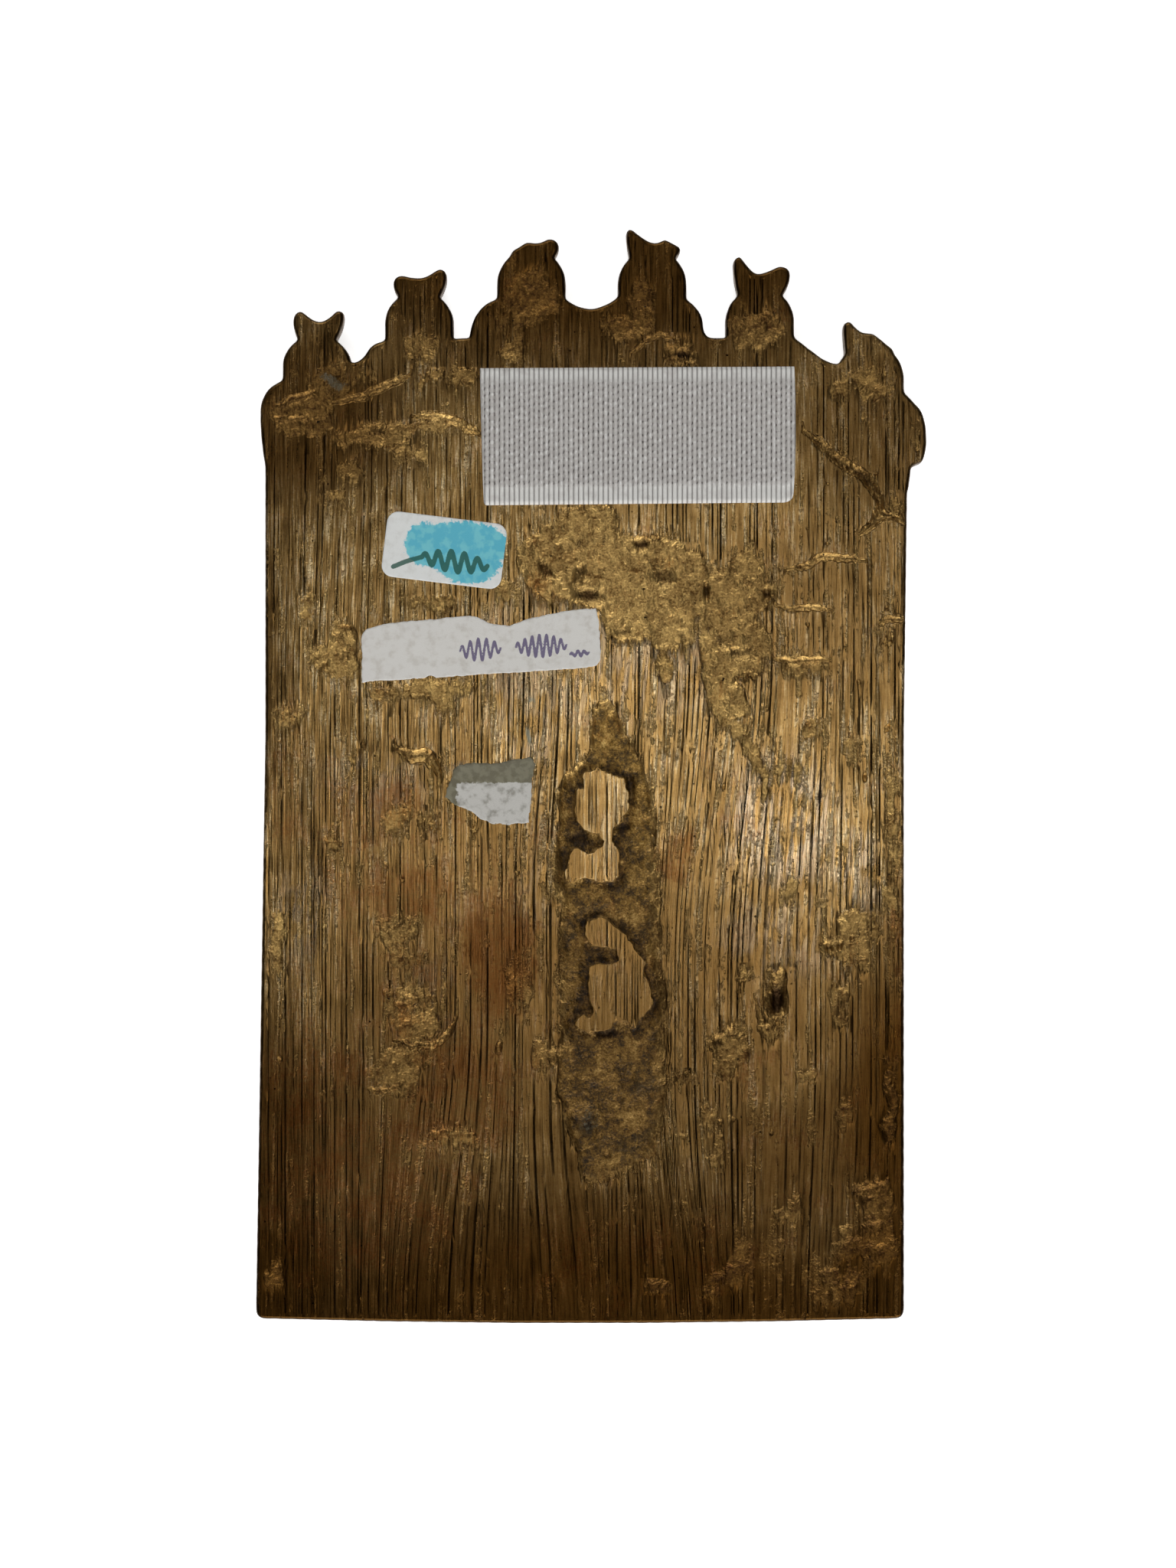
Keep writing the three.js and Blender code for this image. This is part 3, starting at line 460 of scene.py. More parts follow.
def triangulate(border, inside, seams=(), stretch=1.0):
    """Faces over a closed border and the points inside it. With a stretch over 1 they run long in y, as the
    file marks do. Returns the places, the faces and where each border point ended up."""
    points = np.vstack([border, inside])
    flat = [Vector((float(x), float(y) / stretch)) for x, y in points]
    ring = [(at, (at + 1) % len(border)) for at in range(len(border))]
    made = geometry.delaunay_2d_cdt(flat, ring + list(seams), [], 1, 1e-5)
    places = np.array([tuple(place) for place in made[0]]) * (1.0, stretch)
    new_index = {old: new for new, olds in enumerate(made[3]) for old in olds}
    faces = np.array([face for face in made[2] if len(face) == 3])
    a, b, c = (places[faces[:, corner]] for corner in range(3))
    turned = (b[:, 0] - a[:, 0]) * (c[:, 1] - a[:, 1]) < (b[:, 1] - a[:, 1]) * (c[:, 0] - a[:, 0])
    faces[turned] = faces[turned][:, ::-1]
    return places, faces, [new_index[at] for at in range(len(border))]


def soft_minimum(a, b, blend):
    """The lower of two heights, rounded where they cross"""
    share = np.clip(0.5 + 0.5 * (b - a) / blend, 0.0, 1.0)
    return b * (1 - share) + a * share - blend * share * (1 - share)


class FileMarks:
    """The coarse parallel marks of the file. They follow lines of equal stroke, a sideways coordinate that
    leans where the file was held at a slant."""

    def __init__(self, rng):
        count = int(150 / MARK_PITCH)
        steps = MARK_PITCH * rng.uniform(0.55, 1.45, count)
        middles = -75.0 + np.cumsum(steps)
        widths = MARK_WIDTH * rng.uniform(0.6, 1.3, count)
        self.strokes = np.sort(np.concatenate([middles - widths, middles, middles + widths]))
        knots = int(220 / MARK_KNOT)
        self.first_knot = -105.0
        heights = np.empty((3 * count, knots))
        cut = self.runs(rng, count, knots)
        deep = rng.random((count, 1)) ** 1.4
        heights[1::3] = -MARK_DEPTH * (0.12 + 0.88 * smooth((cut - 0.3) / 0.5)) * (0.4 + 0.7 * deep)
        heights[0::3] = -FACET_TILT * self.runs(rng, count, knots)
        heights[2::3] = -FACET_TILT * self.runs(rng, count, knots)
        self.heights = heights

    @staticmethod
    def runs(rng, count, knots):
        """Rows of values from 0 to 1 that keep near the same for a few knots"""
        raw = rng.random((count, knots + 2))
        mean = (raw[:, :-2] + 1.6 * raw[:, 1:-1] + raw[:, 2:]) / 3.6
        return np.clip(0.5 + 1.6 * (mean - 0.5), 0.0, 1.0)

    @staticmethod
    def shift(stroke, y):
        total = np.zeros_like(stroke)
        for middle, reach, shift, low, high in SLANTS:
            total += shift * smooth(1.0 - np.abs(stroke - middle) / reach) * (1.0 - smooth((y - low) / (high - low)))
        return total

    def stroke_at(self, x, y):
        stroke = x.copy()
        for _ in range(8):
            stroke = x - self.shift(stroke, y)
        return stroke

    def height(self, stroke, y):
        right = np.clip(np.searchsorted(self.strokes, stroke), 1, len(self.strokes) - 1)
        left = right - 1
        share = (stroke - self.strokes[left]) / (self.strokes[right] - self.strokes[left])
        knot = (y - self.first_knot) / MARK_KNOT
        low = np.clip(np.floor(knot).astype(int), 0, self.heights.shape[1] - 2)
        rise = smooth(knot - low)
        at_left = self.heights[left, low] * (1 - rise) + self.heights[left, low + 1] * rise
        at_right = self.heights[right, low] * (1 - rise) + self.heights[right, low + 1] * rise
        return at_left * (1 - share) + at_right * share


def ring_at(loop, offset):
    """The points that lie offset out of a loop, and which of them follow each other"""
    moved = loop + outward(loop) * offset
    kept = np.flatnonzero(distances(moved, loop) > abs(offset) * 0.93)
    pairs = [(int(at), int(at) + 1) for at in np.flatnonzero(np.diff(kept) == 1)]
    if kept[0] == 0 and kept[-1] == len(loop) - 1:
        pairs.append((len(kept) - 1, 0))
    return moved[kept], pairs


def island_edges():
    """The torn outlines of the islands"""
    edges = []
    for number, island in enumerate(ISLANDS):
        loop = evenly(island, 0.42, closed=True)
        torn = 0.8 * (spots(loop[:, 0], loop[:, 1], 0.9, SEED + 15 + number, 2) - 0.5)
        edges.append(loop + outward(loop) * torn[:, None])
    return edges


def crack_lines():
    """The cracks as dense, slightly wandering paths, each with its width and depth"""
    lines = []
    for path, width, depth in CRACKS:
        dense = evenly(path, 0.45)
        along = np.gradient(dense, axis=0)
        across = np.stack([along[:, 1], -along[:, 0]], 1) / np.hypot(*along.T)[:, None]
        drift = 0.7 * (spots(dense[:, 0], dense[:, 1], 1.7, SEED + 17, 2) - 0.5)
        lines.append((dense + across * drift[:, None], across, width, depth))
    return lines


def sink_depth(x, y):
    """The long sunken place, without its islands"""
    wobble = 1.6 * (spots(x, y, 3.0, SEED + 5, 4) - 0.5)
    left = np.interp(y, *zip(*SINK_LEFT)) + wobble
    right = np.interp(y, *zip(*SINK_RIGHT)) + wobble
    soft = smooth((y + 55) / 10) * smooth((-12 - y) / 8)
    left_slope = CRISP_SLOPE + (LEFT_SLOPE - CRISP_SLOPE) * soft
    right_slope = CRISP_SLOPE + (RIGHT_SLOPE - CRISP_SLOPE) * smooth((-2 - y) / 14)
    edge = smooth((x - left) / left_slope) * smooth((right - x) / right_slope)
    ends = smooth((y + 76) / 5.0) * smooth((15 - y) / 4.0)
    floor_of_it = 0.85 + 0.5 * (spots(x, y, 6.0, SEED + 6, 3) - 0.5)
    return SINK_DEPTH * edge * ends * floor_of_it


def patch_depth(x, y, outline, depth):
    """How low one patch of skin lies, with a soft border"""
    left, low = np.min(outline, 0) - 1.0
    right, high = np.max(outline, 0) + 1.0
    near = (x > left) & (x < right) & (y > low) & (y < high)
    made = np.zeros_like(x)
    made[near] = depth * smooth(depth_inside(x[near], y[near], outline) / PATCH_BORDER + 0.25)
    return made


def skin_height(x, y, edges):
    """The casting's own skin above the filed plane: where it is below 0, the file never reached it. Also
    returns how much of it belongs to the long sunken place."""
    warp_x = x + 2.8 * (spots(x, y, 3.2, SEED + 11, 4) - 0.5)
    warp_y = y + 2.8 * (spots(x, y, 3.2, SEED + 12, 4) - 0.5)
    low = np.zeros_like(x)
    for _, depth, outline in PATCHES:
        low = np.maximum(low, patch_depth(warp_x, warp_y, outline, depth))
    for spot in SPOTS:
        low = np.maximum(low, spot[5] * smooth(1.2 * (1.0 - oval(warp_x, warp_y, spot) ** 2)))
    low *= 1.0 + 1.3 * (spots(x, y, 4.6, SEED + 13, 2) - 0.5)
    sink = sink_depth(x, y)
    low = np.maximum(low, sink)
    for spot in HOLLOWS:
        near = 0.3 * (x - warp_x), 0.3 * (y - warp_y)
        low += spot[5] * smooth(1.3 * (1.0 - oval(x + near[0], y + near[1], spot)))
    for path, _, width, depth in crack_lines():
        gap, place = distance_to(x, y, path)
        half = 0.5 * width * np.sin(np.pi * np.clip(place, 0.03, 0.97)) ** 0.5
        low = np.maximum(low, (depth + SKIN_MARGIN) * np.clip(1.15 - gap / half, 0.0, 1.0))
    lumps = 0.4 * (spots(x, y, 2.8, SEED + 14, 2) - 0.5) + 0.18 * (spots(x, y, 1.3, SEED + 16) - 0.5)
    height = SKIN_MARGIN - low + lumps * (0.25 + 0.9 * smooth(low / 0.4) + 0.5 * smooth(sink / 0.6))
    for edge in edges:
        depth = depth_inside(x, y, edge)
        height -= ISLAND_MOAT * smooth((depth + 3.0) / 2.6)
        rise = smooth((depth + ISLAND_FOOT) / (ISLAND_FOOT - ISLAND_TOP))
        height = height * (1 - rise) + 0.3 * rise
    return height, smooth((sink - 0.2) / 0.6)


def tint(x, y, list_of_spots, seed):
    """How strongly a tint shows, from 0 to 1, with ragged edges"""
    ragged_x = x + 5.0 * (spots(x, y, 6.0, seed, 3) - 0.5)
    ragged_y = y + 5.0 * (spots(x, y, 6.0, seed + 1, 3) - 0.5)
    strength = np.zeros_like(x)
    for spot in list_of_spots:
        strength = np.maximum(strength, spot[4] * smooth(1.6 * (1.0 - oval(ragged_x, ragged_y, spot))))
    return strength


def distances(points, loop):
    """How far each point is from a closed loop, by its nearest point"""
    dense = evenly(loop, 0.12, closed=True)
    tree = kdtree.KDTree(len(dense))
    for at, (x, y) in enumerate(dense):
        tree.insert((x, y, 0.0), at)
    tree.balance()
    return np.array([tree.find((x, y, 0.0))[2] for x, y in points])


def scattered(low, high, step, seed):
    """A staggered grid of points, each a little out of place"""
    rng = np.random.default_rng(seed)
    columns = np.arange(low[0], high[0], step)
    rows = np.arange(low[1], high[1], step * 0.87)
    x, y = np.meshgrid(columns, rows)
    x[1::2] += step / 2
    x += rng.uniform(-0.22, 0.22, x.shape) * step
    y += rng.uniform(-0.22, 0.22, y.shape) * step
    return np.stack([x.ravel(), y.ravel()], 1)


def mesh_object(name, places, faces, material, values=None, materials=None):
    """A smooth-shaded piece from places in millimetres, with a point attribute for each named value"""
    mesh = bpy.data.meshes.new(name)
    mesh.from_pydata((np.asarray(places) * MM).tolist(), [], [list(map(int, face)) for face in faces])
    mesh.validate()
    for key, value in (values or {}).items():
        attribute = mesh.attributes.new(key, "FLOAT", "POINT")
        attribute.data.foreach_set("value", np.asarray(value, np.float32))
    mesh.materials.append(material)
    for other in materials or []:
        mesh.materials.append(other)
    mesh.shade_smooth()
    piece = bpy.data.objects.new(name, mesh)
    bpy.context.scene.collection.objects.link(piece)
    return piece


def back_points(outline, marks, edges):
    """The points of the back: rings along its edge and along the islands, rows across the file marks, and a
    dense scatter on the casting skin, along cracks and round hollows"""
    rings, seams, first = [], [], len(outline)
    wanted = [(outline, -inset) for inset in (0.16, 0.36, EDGE_ROUND, 0.95)]
    wanted += [(edge, offset) for edge in edges for offset in (-ISLAND_TOP, ISLAND_FOOT)]
    for loop, offset in wanted:
        ring, pairs = ring_at(loop, offset)
        rings.append(ring)
        seams += [(first + a, first + b) for a, b in pairs]
        first += len(ring)
    rows = np.arange(-98.0, 99.0, ROW_STEP)
    stroke, y = (grid.ravel() for grid in np.meshgrid(marks.strokes, rows))
    x = stroke + marks.shift(stroke, y)
    filed = np.stack([x, y], 1)
    skin = scattered((-62, -100), (62, 100), SKIN_STEP, SEED + 21)
    for path, across, width, _ in crack_lines():
        for share in (-0.6, -0.3, 0.0, 0.3, 0.6):
            line = path + across * share * width
            line = line[within(line[:, 0], line[:, 1], outline)]
            line = line[distances(line, outline) > 1.1]
            rings.append(line)
            seams += [(first + at, first + at + 1) for at in range(len(line) - 1)]
            first += len(line)
    fine = []
    turns = np.arange(0.0, 2 * np.pi, np.pi / 6)
    for spot in HOLLOWS:
        for share in (0.0, 0.4, 0.75, 1.0, 1.2):
            ring_x = spot[0] + share * spot[2] * np.cos(turns)
            fine.append(np.stack([ring_x, spot[1] + share * spot[3] * np.sin(turns)], 1))
    fine = np.vstack(fine)
    sets = [filed, skin, fine]
    kinds = np.concatenate([np.full(len(points), kind) for kind, points in enumerate(sets)])
    points = np.vstack(sets)
    inside = within(points[:, 0], points[:, 1], outline)
    points, kinds = points[inside], kinds[inside]
    roomy = distances(points, outline) > 1.1
    for edge in edges:
        roomy &= distances(points, edge) > ISLAND_FOOT + 0.12
    points, kinds = points[roomy], kinds[roomy]
    height, _ = skin_height(points[:, 0], points[:, 1], edges)
    useful = np.where(kinds == 1, height < 0.09, np.where(kinds == 2, True, height > -0.16))
    points = points[useful]
    _, single = np.unique(np.round(points / 0.09), axis=0, return_index=True)
    return np.vstack(rings + [points[np.sort(single)]]), seams


def plaque_back(outline, marks):
    """Places, faces, border and point values of the back"""
    edges = island_edges()
    inside, seams = back_points(outline, marks, edges)
    flat, faces, border = triangulate(outline, inside, seams, stretch=4.0)
    x, y = flat.T
    stroke = marks.stroke_at(x, y)
    filed = marks.height(stroke, y)
    for edge in edges:
        filed = np.where(depth_inside(x, y, edge) > 0.0, ISLAND_MARKS * filed, filed)
    skin, in_sink = skin_height(x, y, edges)
    height = soft_minimum(filed, skin, EDGE_BLEND)
    edge = np.clip(distances(flat, outline), 0.0, EDGE_ROUND)
    height -= EDGE_ROUND - np.sqrt(EDGE_ROUND**2 - (EDGE_ROUND - edge) ** 2)
    values = {
        "stroke": stroke,
        "skin": filed - skin,
        "edge": 1.0 - edge / EDGE_ROUND,
        "groove": np.clip(-filed / MARK_DEPTH, 0.0, 1.2),
        "hollow": np.clip(-height - 0.15, 0.0, 2.0),
        "sink": in_sink,
        "rust": tint(x, y, RUST, SEED + 31),
        "sheen_area": tint(x, y, SHEEN_AREAS, SEED + 33),
        "residue": tint(x, y, RESIDUE, SEED + 35),
        "tarnish_and_shade": tint(x, y, TARNISH_AND_SHADE, SEED + 37),
    }
    return np.column_stack([flat, BACK + height]), faces, border, values


def front_heights():
    """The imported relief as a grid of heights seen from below, softened as a casting is"""
    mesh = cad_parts["icon_plaque"].data
    solid = BVHTree.FromPolygons([vertex.co / MM for vertex in mesh.vertices],
                                 [tuple(face.vertices) for face in mesh.polygons])
    columns, rows = np.arange(-63.0, 63.0, FRONT_GRID), np.arange(-101.0, 102.0, FRONT_GRID)
    grid = np.empty((len(columns), len(rows)))
    for i, x in enumerate(columns):
        for j, y in enumerate(rows):
            hit = solid.ray_cast(Vector((x, y, -1.0)), Vector((0, 0, 1)))[0]
            grid[i, j] = hit.z if hit else (0.7 if y < 66 else 2.1)
    for _ in range(2):
        grid = (np.roll(grid, 1, 0) + 2 * grid + np.roll(grid, -1, 0)) / 4
        grid = (np.roll(grid, 1, 1) + 2 * grid + np.roll(grid, -1, 1)) / 4
    return columns, rows, grid


def plaque_front(outline):
    """Places, faces, border and point values of the carved face"""
    columns, rows, grid = front_heights()
    inside = scattered((-62, -100), (62, 101), FRONT_STEP, SEED + 41)
    inside = inside[within(inside[:, 0], inside[:, 1], outline)]
    inside = inside[distances(inside, outline) > 0.45]
    flat, faces, border = triangulate(outline, inside)
    x, y = flat.T
    i = np.clip((x - columns[0]) / FRONT_GRID, 0, len(columns) - 1.001)
    j = np.clip((y - rows[0]) / FRONT_GRID, 0, len(rows) - 1.001)
    i0, j0 = i.astype(int), j.astype(int)
    s, t = i - i0, j - j0
    height = (grid[i0, j0] * (1 - s) + grid[i0 + 1, j0] * s) * (1 - t)
    height += (grid[i0, j0 + 1] * (1 - s) + grid[i0 + 1, j0 + 1] * s) * t
    height += 0.16 * (spots(x, y, 2.4, SEED + 43, 3) - 0.5) * smooth(height / 0.8)
    values = {"hollow": np.clip(height, 0, 3), "rust": tint(x, y, RUST, SEED + 45)}
    return np.column_stack([flat, np.maximum(height, 0.0)]), faces[:, ::-1], border, values


def plaque(materials):
    """The whole casting as one closed mesh: filed back, side walls and carved face"""
    rng = np.random.default_rng(SEED)
    outline = softened(evenly(section("icon_plaque", SECTION_HEIGHT), 0.5, closed=True), 1)
    marks = FileMarks(rng)
    back, back_faces, back_border, back_values = plaque_back(outline, marks)
    front, front_faces, front_border, front_values = plaque_front(outline)
    top, bottom = back[back_border], front[front_border]
    rings, walls = [np.array(back_border)], []
    normals = outward(outline)
    start = len(back) + len(front)
    for row in range(1, WALL_ROWS):
        share = row / WALL_ROWS
        ring = top * (1 - share) + bottom * share
        bulge = 0.10 * np.sin(np.pi * share) + 0.14 * (spots(ring[:, 0] + ring[:, 2], ring[:, 1], 1.8, SEED + 51, 2) - 0.5)
        ring[:, :2] += normals * bulge[:, None]
        walls.append(ring)
        rings.append(start + np.arange(len(outline)))
        start += len(outline)
    rings.append(len(back) + np.array(front_border))
    side_faces = []
    for upper, lower in zip(rings[:-1], rings[1:]):
        side_faces += list(zip(upper, lower, np.roll(lower, -1), np.roll(upper, -1)))
    places = np.vstack([back, front] + walls)
    faces = list(back_faces) + list(front_faces + len(back)) + side_faces
    values = {}
    for key in back_values:
        shared = front_values.get(key, np.zeros(len(front)))
        wall = back_values[key][back_border] * 0.5
        values[key] = np.concatenate([back_values[key], shared] + [wall] * len(walls))
    piece = mesh_object("icon_plaque_metal", places, faces, materials[0], values, materials[1:])
    looks = np.zeros(len(piece.data.polygons), np.int32)
    looks[len(back_faces):] = 1
    piece.data.polygons.foreach_set("material_index", looks)
    rounded = np.ones(len(piece.data.polygons), bool)
    rounded[:len(back_faces)] = (back_values["skin"][back_faces] > -0.04).any(1)
    rounded[:len(back_faces)] |= (back_values["edge"][back_faces] > 0.0).any(1)
    piece.data.polygons.foreach_set("use_smooth", rounded)
    return piece


def add(tree, kind, inputs=None, **settings):
    """A new node. Each input is a plain value or the socket that feeds it."""
    made = tree.nodes.new(kind)
    for key, value in settings.items():
        setattr(made, key, value)
    for key, value in (inputs or {}).items():
        if isinstance(value, bpy.types.NodeSocket):
            tree.links.new(value, made.inputs[key])
        else:
            made.inputs[key].default_value = value
    return made


def calc(tree, operation, a, b=0.0, c=None, clamp=False):
    inputs = {0: a, 1: b} if c is None else {0: a, 1: b, 2: c}
    return add(tree, "ShaderNodeMath", inputs, operation=operation, use_clamp=clamp).outputs[0]


def rising(tree, value, low, high):
    """A soft step: 0 below low and 1 above high"""
    made = add(tree, "ShaderNodeMapRange", {0: value, 1: low, 2: high}, interpolation_type="SMOOTHSTEP")
    return made.outputs[0]


def level(tree, *shares):
    """0.5, moved by a weighted share of how far each value is from 0.5"""
    total = 0.5 - 0.5 * sum(weight for _, weight in shares)
    for value, weight in shares:
        total = calc(tree, "MULTIPLY_ADD", value, weight, total)
    return total


def mixed(tree, share, first, second, blend="MIX"):
    made = tree.nodes.new("ShaderNodeMix")
    made.data_type = "RGBA"
    made.blend_type = blend
    for socket, value in zip((made.inputs[0], made.inputs[6], made.inputs[7]), (share, first, second)):
        if isinstance(value, bpy.types.NodeSocket):
            tree.links.new(value, socket)
        else:
            socket.default_value = value
    return made.outputs[2]


def attribute(tree, name):
    return add(tree, "ShaderNodeAttribute", attribute_name=name).outputs["Fac"]


def noise(tree, place, scale, detail=2.0, roughness=0.5):
    made = add(tree, "ShaderNodeTexNoise", {"Vector": place, "Scale": scale, "Detail": detail, "Roughness": roughness})
    return made.outputs["Fac"]


def ramp(tree, value, stops):
    made = add(tree, "ShaderNodeValToRGB", {0: value})
    elements = made.color_ramp.elements
    while len(elements) < len(stops):
        elements.new(1.0)
    for element, (place, colour) in zip(elements, stops):
        element.position = place
        element.color = colour
    return made.outputs["Color"]


def srgb(red, green, blue):
    """A colour as it looks on a screen, from 0 to 255, as the linear colour that shaders take"""
    linear = [((v / 255 + 0.055) / 1.055) ** 2.4 if v > 10 else v / 3294.6 for v in (red, green, blue)]
    return (*linear, 1.0)


def new_material(name, roughness, metallic=0.0):
    material = bpy.data.materials.new(name)
    material.use_nodes = True
    shader = material.node_tree.nodes["Principled BSDF"]
    shader.inputs["Roughness"].default_value = roughness
    shader.inputs["Metallic"].default_value = metallic
    return material, material.node_tree, shader


def millimetres(tree):
    """The place on the object, in millimetres"""
    where = add(tree, "ShaderNodeTexCoord").outputs["Object"]
    return add(tree, "ShaderNodeVectorMath", {0: where, 1: (1000, 1000, 1000)}, operation="MULTIPLY").outputs[0]


def group_of(name, inputs, outputs):
    """An empty shader node group with named inputs and outputs"""
    tree = bpy.data.node_groups.new(name, "ShaderNodeTree")
    for key, kind, value in inputs:
        socket = tree.interface.new_socket(key, in_out="INPUT", socket_type=kind)
        if value is not None:
            socket.default_value = value
    for key, kind in outputs:
        tree.interface.new_socket(key, in_out="OUTPUT", socket_type=kind)
    return tree, tree.nodes.new("NodeGroupInput").outputs, tree.nodes.new("NodeGroupOutput").inputs


def use(tree, group, inputs):
    return add(tree, "ShaderNodeGroup", inputs, node_tree=group).outputs


def make_cast_grain():
    """The rough skin that sand leaves on a casting, with the dark tarnish that settles in its lows"""
    tree, given, wanted = group_of(
        "cast_grain",
        [("Place", "NodeSocketVector", None), ("Bright", "NodeSocketColor", srgb(248, 207, 128)),
         ("Dark", "NodeSocketColor", srgb(106, 76, 36)), ("Wear", "NodeSocketFloat", 0.5)],
        [("Color", "NodeSocketColor"), ("Height", "NodeSocketFloat"), ("Roughness", "NodeSocketFloat")],
    )
    clouds = noise(tree, given["Place"], 0.3, 2.0, 0.6)
    lumps = noise(tree, given["Place"], 0.8, 1.0)
    grains = noise(tree, given["Place"], 2.6, 1.0)
    mottles = noise(tree, given["Place"], 1.3, 3.0, 0.65)
    tone = level(tree, (clouds, 0.7), (lumps, 0.6), (mottles, 0.8), (grains, 0.3), (given["Wear"], 0.2))
    share = add(tree, "ShaderNodeMapRange", {0: tone, 1: 0.1, 2: 0.9}).outputs[0]
    tree.links.new(mixed(tree, share, given["Dark"], given["Bright"]), wanted["Color"])
    tree.links.new(level(tree, (lumps, 1.0), (mottles, 0.4), (grains, 0.16)), wanted["Height"])
    tree.links.new(calc(tree, "MULTIPLY_ADD", mottles, -0.3, 0.58), wanted["Roughness"])
    return tree


def make_paper_fibres():
    """Paper's fibres and a little grime"""
    tree, given, wanted = group_of(
        "paper_fibres",
        [("Place", "NodeSocketVector", None), ("Paper", "NodeSocketColor", srgb(214, 213, 210)),
         ("Grime", "NodeSocketColor", srgb(150, 140, 122)), ("Amount", "NodeSocketFloat", 0.3)],
        [("Color", "NodeSocketColor"), ("Height", "NodeSocketFloat")],
    )
    fibres = noise(tree, given["Place"], 5.5, 3.0, 0.7)
    blotches = noise(tree, given["Place"], 0.5, 3.0, 0.6)
    share = calc(tree, "MULTIPLY", rising(tree, blotches, 0.45, 0.75), given["Amount"])
    flecked = calc(tree, "ADD", share, calc(tree, "MULTIPLY", rising(tree, fibres, 0.55, 0.8), 0.22))
    tree.links.new(mixed(tree, flecked, given["Paper"], given["Grime"]), wanted["Color"])
    tree.links.new(fibres, wanted["Height"])
    return tree


def bump(tree, height, distance, strength=1.0, normal=None):
    inputs = {"Height": height, "Distance": distance * MM, "Strength": strength}
    if normal is not None:
        inputs["Normal"] = normal
    return add(tree, "ShaderNodeBump", inputs).outputs["Normal"]


def streaks(tree, across, along, per_mm, length, layer=0.0):
    """Lines that run the way the file went, so many to a millimetre and so long"""
    slow = calc(tree, "MULTIPLY", along, 1.0 / (length * per_mm))
    return noise(tree, add(tree, "ShaderNodeCombineXYZ", {0: across, 1: slow, 2: layer}).outputs[0], per_mm, 1.0)


def scratches(tree, lines, width):
    """Thin scratches where streaks cross their middle value"""
    off = calc(tree, "ABSOLUTE", calc(tree, "SUBTRACT", lines, 0.5))
    return calc(tree, "SUBTRACT", 1.0, rising(tree, off, 0.3 * width, width))


